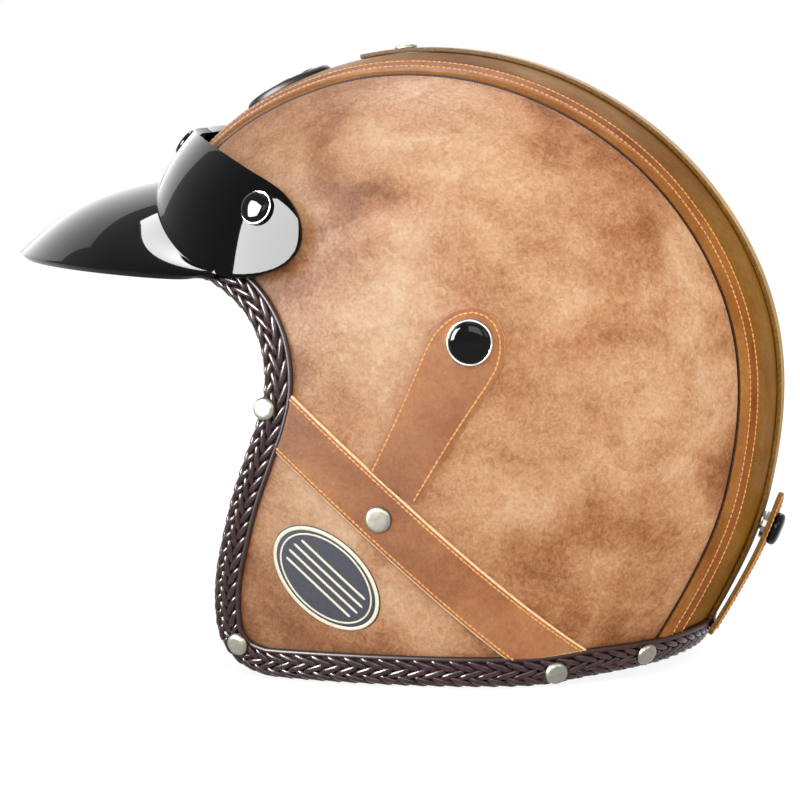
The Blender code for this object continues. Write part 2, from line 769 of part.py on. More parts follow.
def add_snap(name, stud_frame, cover_frame, room, wall, materials):
    """A press stud: a post on the helmet, with the socket and cap of the cover that snaps over it.

    The cover's frame stands on its inner face, room above the stud's own seat."""
    stud = [
        (0.0, room * STUD_POST_SHARE),
        (STUD_POST_RADIUS, room * STUD_POST_SHARE),
        (STUD_POST_RADIUS, GAP + STUD_BASE),
        (STUD_RADIUS, GAP + STUD_BASE),
        (STUD_RADIUS, GAP),
        (0.0, GAP),
    ]
    turned(name + "_stud", stud, stud_frame, materials["nickel"])
    mouth = GAP + STUD_BASE + 2 * GAP - room
    roof = -GAP - STUD_BASE
    socket = [
        (0.0, -GAP),
        (SOCKET_RADIUS, -GAP),
        (SOCKET_RADIUS, mouth),
        (SOCKET_BORE_RADIUS, mouth),
        (SOCKET_BORE_RADIUS, roof),
        (0.0, roof),
    ]
    turned(name + "_socket", socket, cover_frame, materials["nickel"])
    cap = dome_profile(PEAK_CAP_RADIUS, PEAK_CAP_HEIGHT)
    cap_frame = cover_frame @ Matrix.Translation((0, 0, wall + GAP))
    turned(name + "_cap", cap, cap_frame, materials["gloss"])


def add_peak_snaps(materials):
    frames = {"centre": skin_frame(PEAK_CENTRE_SNAP_ANGLE, 0.0)}
    for side in (1, -1):
        frames[side_name(side)] = side_frame(PEAK_SIDE_SNAP_SHARES, side)
    for place, frame in frames.items():
        room = PEAK_STANDOFF - GAP
        cover = frame @ Matrix.Translation((0, 0, room))
        add_snap("peak_snap_" + place, frame, cover, room, PEAK_WALL + 2 * GAP, materials)


# The goggle band's retainer at the back


def nape_angle(inset):
    """Angle at which the edge, moved inwards, leaves the helmet's outline at the back."""
    line = edge_line(inset)
    places = [(math.atan2(height - HEAD_HEIGHT, back), back, height) for back, height in line]
    past = [math.hypot(back, height - HEAD_HEIGHT) - rim_radius(angle) for angle, back, height in places]
    last = max(index for index, beyond in enumerate(past) if beyond < 0)
    part = past[last] / (past[last] - past[last + 1])
    return places[last][0] * (1 - part) + places[last + 1][0] * part


def retainer_foot():
    """Angle of the retainer's foot, which laps over the trim at the nape."""
    angle = nape_angle(TRIM_COVER)
    return angle - RETAINER_LAP / rim_radius(angle)


def retainer_point(share):
    """Point of the retainer's inner face, from its foot, 0, to its free end, 1."""
    angle = retainer_foot() + RETAINER_TURN * share
    lift = RETAINER_FOOT_LIFT + (RETAINER_TIP_LIFT - RETAINER_FOOT_LIFT) * share**RETAINER_CURL
    return skin_point(angle, 0.0, -lift), angle, lift


def add_retainer(materials):
    inner = []
    for step in range(RETAINER_STEPS + 1):
        point = retainer_point(step / RETAINER_STEPS)[0]
        inner.append((point.y - HEAD_BACK, point.z))
    outline = inner + offset_line(inner, -RETAINER_THICKNESS)[::-1]
    half = RETAINER_WIDTH / 2
    prism("goggle_retainer", outline, -half, half, material=materials["band"])
    step = 1 / RETAINER_STEPS
    point, angle, lift = retainer_point(RETAINER_SNAP_SHARE)
    along = retainer_point(RETAINER_SNAP_SHARE + step)[0] - retainer_point(RETAINER_SNAP_SHARE - step)[0]
    outward = Vector((0.0, along.z, -along.y))
    cover = Matrix.Translation(point) @ outward.to_track_quat("Z", "Y").to_matrix().to_4x4()
    stud = skin_frame(angle, 0.0, CROWN_STRAP_PROUD)
    room = lift - CROWN_STRAP_PROUD
    add_snap("retainer_snap", stud, cover, room, RETAINER_THICKNESS, materials)


# The chin strap


def chin_pivot():
    """Back of the head centre and height of the rivets that the chin strap swings on."""
    return side_place(CHIN_PIVOT_SHARES)


def anchor_face():
    """Distance from the middle to the anchor plate's outer face, just clear of the foam."""
    back, height = chin_pivot()
    depth = FOAM_DEPTH + FOAM_WALL
    nearest = HALF_WIDTH
    for step in range(ROUND_STEPS):
        turn = math.tau * step / ROUND_STEPS
        rim = (back + ANCHOR_RADIUS * math.cos(turn), height + ANCHOR_RADIUS * math.sin(turn))
        nearest = min(nearest, skin_point(*skin_place(*rim, depth), depth).x)
    return nearest - 2 * GAP


def add_chin_strap(materials):
    """Plates on the foam, and a webbing half on each side down to the buckle."""
    back, height = chin_pivot()
    plate = anchor_face()
    reach = plate - ANCHOR_THICKNESS - GAP - WEBBING_THICKNESS / 2
    disc = [(0.0, ANCHOR_THICKNESS), (ANCHOR_RADIUS, ANCHOR_THICKNESS), (ANCHOR_RADIUS, 0.0), (0.0, 0.0)]
    half = WEBBING_WIDTH / 2
    for side in (1, -1):
        name = side_name(side)
        frame = Matrix.Translation((side * plate, HEAD_BACK + back, height))
        frame @= Matrix.Rotation(-side * math.pi / 2, 4, "Y")
        turned("chin_anchor_" + name, disc, frame, materials["nickel"])
        corners = [(side * (BUCKLE_LENGTH / 2 + GAP), WEBBING_LOW)]
        for wide, high in LOOP_SHARES:
            corners.append((side * reach * wide, WEBBING_LOW + (height - WEBBING_LOW) * high))
        outline = strip(smooth_line(corners, LOOP_STEPS), WEBBING_THICKNESS)
        prism("chin_strap_" + name, outline, back - half, back + half, "Y", materials["webbing"])


def buckle_place(point):
    """A place measured from the middle of the buckle, in the helmet's own frame."""
    return Vector(point) + Vector((0.0, HEAD_BACK + chin_pivot()[0], WEBBING_LOW))


def box(name, low, high, material=None, rounding=0.0, collection=None):
    """A block between two corners, measured from the middle of the buckle."""
    low, high = buckle_place(low), buckle_place(high)
    bm = bmesh.new()
    bmesh.ops.create_cube(bm, size=1.0)
    bmesh.ops.scale(bm, vec=high - low, verts=bm.verts)
    bmesh.ops.translate(bm, vec=(low + high) / 2, verts=bm.verts)
    if rounding:
        bmesh.ops.bevel(bm, geom=bm.edges, offset=rounding, segments=1, affect="EDGES")
    return mesh_object(name, bm, material, collection)


def add_buckle(materials):
    """A channel on the left half, a toothed tongue on the right and the lever that frees it."""
    length, half = BUCKLE_LENGTH / 2, BUCKLE_WIDTH / 2
    inside = half - BUCKLE_WALL
    floor, roof = -BUCKLE_HEIGHT / 2, BUCKLE_HEIGHT / 2
    housing = box(
        "buckle_housing", (-length, -half, floor), (length, half, roof), materials["dark"], BUCKLE_WALL / 2
    )
    channel = box(
        "buckle_channel",
        (-length - CUT_OVERRUN, -inside, floor + BUCKLE_WALL),
        (length - BUCKLE_WALL, inside, roof + CUT_OVERRUN),
        collection=CUTTERS,
    )
    cut(housing, as_cutter(channel))
    tongue_half = WEBBING_WIDTH / 2 - BUCKLE_WALL
    tongue_top = TONGUE_THICKNESS / 2
    tongue = box(
        "buckle_tongue",
        (-length, -tongue_half, -tongue_top),
        (TONGUE_LENGTH - length, tongue_half, tongue_top),
        materials["nickel"],
    )
    toothed = TONGUE_LENGTH * TONGUE_TOOTHED_SHARE
    pitch = toothed / TONGUE_TEETH
    for tooth in range(TONGUE_TEETH):
        start = TONGUE_LENGTH - toothed - length + tooth * pitch
        groove = box(
            f"tongue_groove_{tooth}",
            (start, -half, tongue_top - TONGUE_TOOTH),
            (start + pitch / 2, half, tongue_top + CUT_OVERRUN),
            collection=CUTTERS,
        )
        cut(tongue, as_cutter(groove))
    under = tongue_top + GAP
    pivot_x, pivot_z = lever_pivot()
    lever = box(
        "buckle_lever",
        (-length + BUCKLE_WALL, -inside + GAP, under),
        (pivot_x, inside - GAP, under + LEVER_THICKNESS),
        materials["dark"],
    )
    bm = bmesh.new()
    bmesh.ops.create_cone(
        bm,
        cap_ends=True,
        segments=ROUND_STEPS,
        radius1=LEVER_BARREL_RADIUS,
        radius2=LEVER_BARREL_RADIUS,
        depth=2 * (inside - GAP),
    )
    middle = buckle_place((pivot_x, 0.0, pivot_z))
    bm.transform(Matrix.Translation(middle) @ Matrix.Rotation(math.pi / 2, 4, "X"))
    barrel = as_cutter(mesh_object("lever_barrel", bm, collection=CUTTERS))
    cut(lever, barrel, "UNION")
    top = under + LEVER_THICKNESS + GAP
    end = -length + PULL_WIDTH / 2
    box(
        "lever_pull",
        (end - PULL_LENGTH, -PULL_WIDTH / 2, top),
        (end, PULL_WIDTH / 2, top + PULL_THICKNESS),
        materials["pull"],
    )


def lever_pivot():
    """Place of the lever's barrel: along the buckle and above the webbing's middle."""
    along = BUCKLE_LENGTH / 2 - BUCKLE_WALL - LEVER_BARREL_RADIUS - 2 * GAP
    return along, LEVER_BARREL_RADIUS + GAP


# Pieces that move


def hang(name, place, names, parent=None):
    """Puts the named pieces, and what cuts them, under an empty on their joint's axis."""
    pivot = bpy.data.objects.new(name, None)
    PARTS.objects.link(pivot)
    pivot.location = place
    if parent:
        pivot.parent = parent
        pivot.location = place - parent.location
    for piece in (bpy.data.objects[piece_name] for piece_name in names):
        tools = [modifier.object for modifier in piece.modifiers if modifier.type == "BOOLEAN"]
        for obj in (piece, *tools):
            obj.parent = pivot
            obj.matrix_parent_inverse = Matrix.Translation(-place)
    return pivot


def hang_moving_pieces():
    """The peak, the goggle retainer, the chin strap and, on that, the buckle's lever."""
    covers = [f"peak_snap_{place}_{part}" for place in SNAP_PLACES for part in ("socket", "cap")]
    back, height = side_place(BILL_ROOT_SHARES)
    hang("pivot_peak", Vector((0.0, HEAD_BACK + back, height)), ("peak", *covers))
    half_wall = Vector((0.0, 0.0, RETAINER_THICKNESS / 2))
    foot = retainer_point(0.0)[0] + skin_frame(retainer_foot(), 0.0).to_3x3() @ half_wall
    hang("pivot_retainer", foot, ("goggle_retainer", "retainer_snap_socket", "retainer_snap_cap"))
    back, height = chin_pivot()
    halves = ("chin_strap_left", "chin_strap_right", "buckle_housing", "buckle_tongue")
    strap = hang("pivot_chin_strap", Vector((0.0, HEAD_BACK + back, height)), halves)
    along, above = lever_pivot()
    hang("pivot_lever", buckle_place((along, 0.0, above)), ("buckle_lever", "lever_pull"), strap)


def main():
    clear_scene()
    materials = make_materials()
    add_shell(materials)
    add_trim(materials)
    covered = add_leather(materials)
    add_crown_strap(materials, covered)
    add_side_straps(materials, covered)
    add_badge(materials)
    add_plaque(materials)
    add_padding(materials)
    add_rivets(materials)
    add_tab_snaps(materials)
    add_peak(materials)
    add_peak_snaps(materials)
    add_retainer(materials)
    add_chin_strap(materials)
    add_buckle(materials)
    hang_moving_pieces()


main()
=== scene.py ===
# %% [markdown]
# A leather open-face helmet
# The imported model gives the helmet's solids in metres. It stands on the table, faces -Y, and +X is
# the wearer's left. This lesson dresses those solids one piece at a time: leather skins, plaited
# trim, snaps, the peak, the padding and the chin strap.

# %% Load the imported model
import math
from bisect import bisect

import bmesh
import bpy
from mathutils import Matrix, Vector


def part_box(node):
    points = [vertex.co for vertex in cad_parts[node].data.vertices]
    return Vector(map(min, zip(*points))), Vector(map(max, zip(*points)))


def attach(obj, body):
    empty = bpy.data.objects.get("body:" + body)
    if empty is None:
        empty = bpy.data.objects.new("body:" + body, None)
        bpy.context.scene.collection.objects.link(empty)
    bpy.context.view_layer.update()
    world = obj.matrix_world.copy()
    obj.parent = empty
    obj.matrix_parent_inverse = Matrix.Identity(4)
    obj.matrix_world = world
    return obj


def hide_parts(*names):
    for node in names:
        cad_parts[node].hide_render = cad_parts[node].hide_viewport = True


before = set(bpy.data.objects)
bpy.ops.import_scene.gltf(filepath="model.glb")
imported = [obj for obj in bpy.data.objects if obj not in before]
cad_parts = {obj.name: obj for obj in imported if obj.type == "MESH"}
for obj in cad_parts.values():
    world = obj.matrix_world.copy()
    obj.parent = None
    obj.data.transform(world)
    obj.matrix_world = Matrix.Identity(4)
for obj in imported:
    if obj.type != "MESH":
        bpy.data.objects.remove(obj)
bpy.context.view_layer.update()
scene = bpy.context.scene

# %% [markdown]
# Camera
# The picture looks at the wearer's left side, a little from behind and a little from above, through
# a long lens. The distance and the lens together fix the perspective, so they are set first and the
# pieces are judged through them from then on.

# %% Camera
CAMERA_TURN = math.radians(11.8)
CAMERA_RISE = math.radians(5.5)
CAMERA_DISTANCE = 1.8
CAMERA_LENS = 192.8
AIM = Vector((0.0, -0.001, 0.106))


def add_camera():
    """A camera that looks at the middle of the helmet."""
    flat = math.cos(CAMERA_RISE)
    back = Vector(
        (flat * math.cos(CAMERA_TURN), flat * math.sin(CAMERA_TURN), math.sin(CAMERA_RISE))
    )
    camera = bpy.data.objects.new("camera", bpy.data.cameras.new("camera"))
    camera.data.lens = CAMERA_LENS
    camera.location = AIM + back * CAMERA_DISTANCE
    camera.rotation_euler = back.to_track_quat("Z", "Y").to_euler()
    scene.collection.objects.link(camera)
    scene.camera = camera


add_camera()
print("camera at", [round(place, 3) for place in scene.camera.location])

# %% [markdown]
# Studio
# Four soft lamps light the helmet evenly, and the world fills the shadows. Rays that come from the
# camera, or that bounce off something glossy, see a white room, so the background is white and the
# gloss has something to mirror. Gloss also needs bright shapes to mirror, as a studio's reflector
# cards give it, so three more lamps show in gloss alone and add no light to the leather's colour.
# The floor is pale and keeps the helmet's faint shadow.

# %% Studio
LAMPS = (
    ("key_lamp", (1.9, 0.35, 0.95), 1.0, 21.0),
    ("back_lamp", (1.0, 1.6, 1.1), 1.0, 13.0),
    ("far_lamp", (-1.7, 0.2, 1.3), 1.2, 13.0),
    ("top_lamp", (0.1, 0.0, 2.0), 1.1, 8.0),
)
CARDS = (
    ("front_card", (1.16, -1.14, 0.65), 0.95, 250.0),
    ("far_card", (-1.24, -0.95, 0.9), 1.35, 12.0),
    ("high_card", (-0.58, -0.3, 1.6), 0.48, 26.0),
)
WORLD_FILL = 0.55
FLOOR_SIZE = 12.0
FLOOR_WHITE = 1.2
FLOOR_SHARE = 0.75


def add_lamp(name, place, size, power, lights_surfaces=True):
    """A square lamp that faces the helmet. Without lights_surfaces it shows in gloss alone."""
    lamp = bpy.data.lights.new(name, "AREA")
    lamp.size = size
    lamp.energy = power
    holder = bpy.data.objects.new(name, lamp)
    holder.location = place
    holder.rotation_euler = (Vector(place) - AIM).to_track_quat("Z", "Y").to_euler()
    holder.visible_diffuse = lights_surfaces
    scene.collection.objects.link(holder)


def add_node(tree, kind, values=None, **settings):
    """A node with its own settings and with values on its input sockets."""
    made = tree.nodes.new(kind)
    for name, value in settings.items():
        setattr(made, name, value)
    for socket, value in (values or {}).items():
        made.inputs[socket].default_value = value
    return made


def seen_directly(tree):
    """1 for rays from the camera or a glossy or clear surface, and 0 for the light that fills."""
    path = add_node(tree, "ShaderNodeLightPath")
    both = add_node(tree, "ShaderNodeMath", operation="MAXIMUM")
    tree.links.new(path.outputs["Is Camera Ray"], both.inputs[0])
    tree.links.new(path.outputs["Is Glossy Ray"], both.inputs[1])
    every = add_node(tree, "ShaderNodeMath", operation="MAXIMUM")
    tree.links.new(both.outputs[0], every.inputs[0])
    tree.links.new(path.outputs["Is Transmission Ray"], every.inputs[1])
    return every.outputs[0]


def set_world():
    world = bpy.data.worlds.new("white_room")
    world.use_nodes = True
    scene.world = world
    tree = world.node_tree
    strength = add_node(tree, "ShaderNodeMapRange", {"To Min": WORLD_FILL, "To Max": 1.0})
    tree.links.new(seen_directly(tree), strength.inputs["Value"])
    room = tree.nodes["Background"]
    room.inputs["Color"].default_value = (1, 1, 1, 1)
    tree.links.new(strength.outputs["Result"], room.inputs["Strength"])


def add_floor():
    """A pale floor: what the camera sees of it is mostly its own white, and partly its shading."""
    bm = bmesh.new()
    bmesh.ops.create_grid(bm, x_segments=1, y_segments=1, size=FLOOR_SIZE)
    mesh = bpy.data.meshes.new("floor")
    bm.to_mesh(mesh)
    bm.free()
    floor = bpy.data.objects.new("floor", mesh)
    scene.collection.objects.link(floor)
    paint = bpy.data.materials.new("floor_paint")
    paint.use_nodes = True
    tree = paint.node_tree
    shader = tree.nodes["Principled BSDF"]
    shader.inputs["Base Color"].default_value = (0.86, 0.86, 0.86, 1)
    shader.inputs["Roughness"].default_value = 0.9
    shader.inputs["Specular IOR Level"].default_value = 0.0
    white = add_node(tree, "ShaderNodeEmission", {"Strength": FLOOR_WHITE})
    share = add_node(tree, "ShaderNodeMath", {1: FLOOR_SHARE}, operation="MULTIPLY")
    tree.links.new(seen_directly(tree), share.inputs[0])
    mix = add_node(tree, "ShaderNodeMixShader")
    tree.links.new(share.outputs[0], mix.inputs["Fac"])
    tree.links.new(shader.outputs[0], mix.inputs[1])
    tree.links.new(white.outputs[0], mix.inputs[2])
    tree.links.new(mix.outputs[0], tree.nodes["Material Output"].inputs["Surface"])
    floor.data.materials.append(paint)


for lamp in LAMPS:
    add_lamp(*lamp)
for card in CARDS:
    add_lamp(*card, lights_surfaces=False)
set_world()
add_floor()
scene.view_settings.view_transform = "Standard"
print("lamps:", [name for name, *_ in LAMPS + CARDS])

# %% [markdown]
# The form of the helmet
# Seen from the side, the shell is a closed curve whose radius changes with the angle. Seen from the
# front, it is rounder than a box and squarer than a ball. These functions give the leather's outer
# face for any angle and any place across, so every piece can be laid exactly on it, or a known
# height above it.

# %% The form of the helmet
CROWN_RADIUS = 0.1085
HALF_WIDTH = 0.109
HEAD_HEIGHT = 0.142
HEAD_BACK = 0.032
ROUNDNESS = 2.4
RIM_RADIUS_SHARES = (1.138, 1.018, 0.968, 1.0, 1.101, 1.23, 1.272, 1.567, 1.935, 2.166, 1.558, 1.29)
HEAD = Vector((0.0, HEAD_BACK, HEAD_HEIGHT))
NORMAL_STEP = 0.0005


def smooth_step(before, here, after, beyond, part):
    """A value between here and after on the smooth curve that passes through all four."""
    slope_here = (after - before) / 2
    slope_after = (beyond - here) / 2
    blend = part * part * (3 - 2 * part)
    return (
        here * (1 - blend)
        + after * blend
        + slope_here * part * (1 - part) ** 2
        - slope_after * part * part * (1 - part)
    )


def rim_radius(angle):
    """Radius of the side view at an angle."""
    count = len(RIM_RADIUS_SHARES)
    turn = (angle / math.tau) % 1.0 * count
    first = int(turn) % count
    four = (RIM_RADIUS_SHARES[(first + k) % count] for k in (-1, 0, 1, 2))
    return CROWN_RADIUS * smooth_step(*four, turn - int(turn))


def skin_fill(point, depth=0.0):
    """How far out a point lies, as a share of the way to the leather's face or a layer under it."""
    away = point - HEAD
    angle = math.atan2(away.z, away.y)
    wide = abs(away.x / (HALF_WIDTH - depth)) ** ROUNDNESS
    tall = (math.hypot(away.y, away.z) / (rim_radius(angle) - depth)) ** ROUNDNESS
    return (wide + tall) ** (1 / ROUNDNESS)


def skin_normal(point):
    """The direction straight out of the leather, which is where skin_fill grows fastest."""
    steps = [Vector(row) * NORMAL_STEP for row in ((1, 0, 0), (0, 1, 0), (0, 0, 1))]
    return Vector([skin_fill(point + s) - skin_fill(point - s) for s in steps]).normalized()


def on_skin(point, lift=0.0):
    """The point moved onto the leather's face, then lift straight out of it."""
    seat = HEAD + (point - HEAD) / skin_fill(point)
    return seat + skin_normal(seat) * lift if lift else seat


def skin_point(angle, across, lift=0.0):
    """Point at an angle round the head and a place from the middle, 0, to the ear, 1 or -1."""
    turn = abs(across) * math.pi / 2
    side = math.copysign(math.sin(turn) ** (2 / ROUNDNESS), across)
    reach = (rim_radius(angle) + lift) * max(math.cos(turn), 0.0) ** (2 / ROUNDNESS)
    return HEAD + Vector(((HALF_WIDTH + lift) * side, reach * math.cos(angle), reach * math.sin(angle)))


def side_point(back, height, side=1, lift=0.0):
    """Point of the leather that the side view shows at back, height."""
    angle = math.atan2(height - HEAD_HEIGHT, back)
    reach = math.hypot(back, height - HEAD_HEIGHT) / rim_radius(angle)
    wide = HALF_WIDTH * max(1 - reach**ROUNDNESS, 0.0) ** (1 / ROUNDNESS)
    seat = Vector((side * wide, HEAD_BACK + back, height))
    return seat + skin_normal(seat) * lift if lift else seat


def side_place(shares):
    return shares[0] * CROWN_RADIUS, shares[1] * HEAD_HEIGHT


print("crown at", tuple(round(value, 4) for value in skin_point(math.pi / 2, 0.0)))

# %% [markdown]
# The edge
# The edge is a line in the side view, from the brow round the face opening and along the bottom to
# the nape. Every skin, strap and strip of trim ends at it or runs beside it, so it is worked out
# once, with a helper that moves a line sideways by a distance.

# %% The edge
EDGE_SHARES = (
    (-1.85, 1.134),
    (-1.11, 1.134),
    (-0.894, 1.134),
    (-0.737, 1.07),
    (-0.65, 0.979),
    (-0.622, 0.866),
    (-0.645, 0.768),
    (-0.7, 0.655),
    (-0.756, 0.542),
    (-0.802, 0.423),
    (-0.839, 0.31),
    (-0.853, 0.204),
    (-0.839, 0.113),
    (-0.774, 0.042),
    (-0.673, 0.007),
    (-0.571, 0.0),
    (-0.25, 0.0),
    (0.323, 0.0),
    (0.535, 0.018),
    (0.737, 0.035),
    (0.922, 0.056),
    (1.5, 0.09),
)
EDGE_STEPS = 5


def smooth_line(points, steps):
    """The points with a smooth curve between them, steps pieces to each stretch."""
    line = []
    last = len(points) - 1
    for index in range(last):
        four = [points[min(max(index + k, 0), last)] for k in (-1, 0, 1, 2)]
        for step in range(steps):
            line.append(tuple(smooth_step(*(p[axis] for p in four), step / steps) for axis in (0, 1)))
    line.append(points[-1])
    return line


def offset_line(line, distance):
    """The line moved to its left by a distance."""
    moved = []
    for index, (first, second) in enumerate(line):
        ahead = line[min(index + 1, len(line) - 1)]
        behind = line[max(index - 1, 0)]
        run, rise = ahead[0] - behind[0], ahead[1] - behind[1]
        length = math.hypot(run, rise)
        moved.append((first - rise / length * distance, second + run / length * distance))
    return moved


def edge_line(inset=0.0, steps=EDGE_STEPS):
    """The helmet's edge from brow to nape, moved inwards. It stands flat on the table."""
    corners = [side_place(shares) for shares in EDGE_SHARES]
    line = [(back, max(height, 0.0)) for back, height in smooth_line(corners, steps)]
    return offset_line(line, inset)


def first_crossing(start, way, line):
    """Distance from start, along way, to the first place where a line is crossed."""
    nearest = math.inf
    for (x0, y0), (x1, y1) in zip(line, line[1:]):
        run, rise = x1 - x0, y1 - y0
        cross = way[0] * rise - way[1] * run
        if cross == 0:
            continue
        to_x, to_y = x0 - start[0], y0 - start[1]
        reach = (to_x * rise - to_y * run) / cross
        place = (to_x * way[1] - to_y * way[0]) / cross
        if 0 <= place <= 1 and 0 < reach < nearest:
            nearest = reach
    return nearest


print("edge line of", len(edge_line()), "points")

# %% [markdown]
# From mesh to piece
# A few helpers are used all through. One lays a flat grid wherever a function says, because a grid
# is the simplest mesh whose rows and columns follow a curved surface. One turns a finished bmesh
# into an object that rides on the helmet. One gives a sheet its thickness and soft edges. Two more
# find places along a line of points.

# %% From mesh to piece
WELD = 0.00001


def laid_grid(columns, rows, place, size=None):
    """A grid whose points, 0 to 1 each way, are laid where place says.

    A size, in metres each way, also gives it a map for a pattern that follows the surface."""
    bm = bmesh.new()
    bmesh.ops.create_grid(bm, x_segments=columns, y_segments=rows, size=1.0)
    if size:
        flat = bm.loops.layers.uv.new("cloth")
        for face in bm.faces:
            for loop in face.loops:
                loop[flat].uv = [(loop.vert.co[k] + 1) / 2 * size[k] for k in (0, 1)]
    for vert in bm.verts:
        vert.co = place((vert.co.x + 1) / 2, (vert.co.y + 1) / 2)
    bmesh.ops.remove_doubles(bm, verts=bm.verts, dist=WELD)
    bmesh.ops.dissolve_degenerate(bm, edges=bm.edges, dist=WELD / 2)
    return bm


def face_out(bm):
    """Turns an open sheet's faces away from the middle of the head."""
    bmesh.ops.recalc_face_normals(bm, faces=bm.faces)
    outward = sum(face.normal.dot(face.calc_center_median() - HEAD) for face in bm.faces)
    if outward < 0:
        bmesh.ops.reverse_faces(bm, faces=bm.faces)


def close_out(bm):
    """Turns a closed body's faces outwards."""
    bmesh.ops.recalc_face_normals(bm, faces=bm.faces)
    if bm.calc_volume(signed=True) < 0:
        bmesh.ops.reverse_faces(bm, faces=bm.faces)


def add_piece(name, bm, finishes, slot, stands_for=(), body="helmet"):
    """A finished mesh as an object that rides on a body, in place of the solids it stands for."""
    mesh = bpy.data.meshes.new(name)
    bm.to_mesh(mesh)
    bm.free()
    mesh.shade_smooth()
    piece = bpy.data.objects.new(name, mesh)
    scene.collection.objects.link(piece)
    for finish in finishes:
        mesh.materials.append(finish)
    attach(piece, body)
    if stands_for:
        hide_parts(*stands_for)
    return piece


def thicken(piece, thickness, rounding=0.0, rim_finish=0, segments=2):
    """Gives an open sheet its thickness inwards, and rounds the edges that makes.

    The rounding takes the finish of the rim, as a cut edge does."""
    wall = piece.modifiers.new("wall", "SOLIDIFY")
    wall.thickness = thickness
    wall.offset = -1.0
    wall.use_even_offset = True
    wall.material_offset_rim = rim_finish
    if rounding:
        soft = piece.modifiers.new("soft_edges", "BEVEL")
        soft.width = rounding
        soft.segments = segments
        soft.limit_method = "ANGLE"
        soft.angle_limit = math.radians(50)
        soft.material = rim_finish or -1


SIDES = ((1, "left"), (-1, "right"))


def measured(points):
    """How far along a line each of its points is."""
    lengths = [0.0]
    for first, second in zip(points, points[1:]):
        lengths.append(lengths[-1] + (second - first).length)
    return lengths


def place_at(points, lengths, at):
    """The place at a length along a line, and the direction of the line there."""
    low = min(max(bisect(lengths, at) - 1, 0), len(points) - 2)
    span = lengths[low + 1] - lengths[low]
    part = (at - lengths[low]) / span if span else 0.0
    return points[low].lerp(points[low + 1], part), (points[low + 1] - points[low]).normalized()


print("helpers ready")

# %% [markdown]
# Distressed leather
# The covering is waxed leather, rubbed so that pale, reddish and dark brown patches show through one
# another, with a fine pebbled grain. Image textures are out, and paint would be flat, so the colour
# comes from noise at four sizes: patches of several centimetres, blotches of two, and two sizes of
# speck. Every other finish is a tone between two colours, with the same tone or another as relief.

# %% Distressed leather
DARK_SHARE = 0.0393
LEATHER_TONE_START = 0.3
LEATHER_TONE_SPAN = 0.3
BORDER_DARKENING = 0.07
BLOTCH_STRETCH = (1.0, 0.5, 1.0)
BLOTCH_TURN = (0.5, 0.0, 0.0)
REDDEN_PLACE = (0.4, 0.9, 0.2)
REDDENED = (1.0, 0.82, 0.7, 1.0)
PEBBLE_DEPTH = 0.0003


def shade(red, green, blue):
    """A colour written as it looks on a screen, 0 to 255, in the linear values that nodes take."""
    shares = [part / 255 for part in (red, green, blue)]
    linear = [((part + 0.055) / 1.055) ** 2.4 if part > DARK_SHARE else part / 12.92 for part in shares]
    return (*linear, 1.0)


def start_finish(name, roughness, **sockets):
    """A material with its shader, its node tree and the object's own coordinates."""
    finish = bpy.data.materials.new(name)
    finish.use_nodes = True
    tree = finish.node_tree
    shader = tree.nodes["Principled BSDF"]
    shader.inputs["Roughness"].default_value = roughness
    for socket, value in sockets.items():
        shader.inputs[socket.replace("_", " ")].default_value = value
    place = add_node(tree, "ShaderNodeTexCoord").outputs["Object"]
    return finish, tree, shader, place


def spots(tree, place, scale, detail, rough=0.5, distortion=0.0, stretch=None, turn=None, shift=None):
    """Noise from 0 to 1, with scale features to the metre, stretched and turned if asked."""
    if stretch or turn or shift:
        mapping = add_node(tree, "ShaderNodeMapping")
        mapping.inputs["Scale"].default_value = stretch or (1, 1, 1)
        mapping.inputs["Rotation"].default_value = turn or (0, 0, 0)
        mapping.inputs["Location"].default_value = shift or (0, 0, 0)
        tree.links.new(place, mapping.inputs["Vector"])
        place = mapping.outputs[0]
    values = {"Scale": scale, "Detail": detail, "Roughness": rough, "Distortion": distortion}
    made = add_node(tree, "ShaderNodeTexNoise", values)
    tree.links.new(place, made.inputs["Vector"])
    return made.outputs["Fac"]


def ramp(tree, factor, stops):
    """Colours along a scale from 0 to 1."""
    made = add_node(tree, "ShaderNodeValToRGB")
    bands = made.color_ramp.elements
    while len(bands) < len(stops):
        bands.new(0.5)
    for band, (place, colour) in zip(bands, stops):
        band.position = place
        band.color = colour
    tree.links.new(factor, made.inputs["Fac"])
    return made.outputs["Color"]


def math_node(tree, operation, first, second, clamp=False):
    """One sum on two values, either of which may be a plain number."""
    made = add_node(tree, "ShaderNodeMath", operation=operation, use_clamp=clamp)
    for index, value in enumerate((first, second)):
        if isinstance(value, (int, float)):
            made.inputs[index].default_value = value
        else:
            tree.links.new(value, made.inputs[index])
    return made.outputs[0]


def tinted(tree, factor, colour, tint):
    """A colour multiplied by a tint, as far as a factor says."""
    made = add_node(tree, "ShaderNodeMix", {7: tint}, data_type="RGBA", blend_type="MULTIPLY")
    tree.links.new(factor, made.inputs[0])
    tree.links.new(colour, made.inputs[6])
    return made.outputs[2]


def ranged(tree, factor, **limits):
    """A factor mapped from one range to another, the limits named From_Min and so on."""
    values = {name.replace("_", " "): value for name, value in limits.items()}
    made = add_node(tree, "ShaderNodeMapRange", values)
    tree.links.new(factor, made.inputs["Value"])
    return made.outputs["Result"]


def cells(tree, place, scale, randomness=1.0):
    """Distance from the middle of the nearest cell, with scale cells to the metre."""
    made = add_node(tree, "ShaderNodeTexVoronoi", {"Scale": scale, "Randomness": randomness})
    tree.links.new(place, made.inputs["Vector"])
    return made.outputs["Distance"]


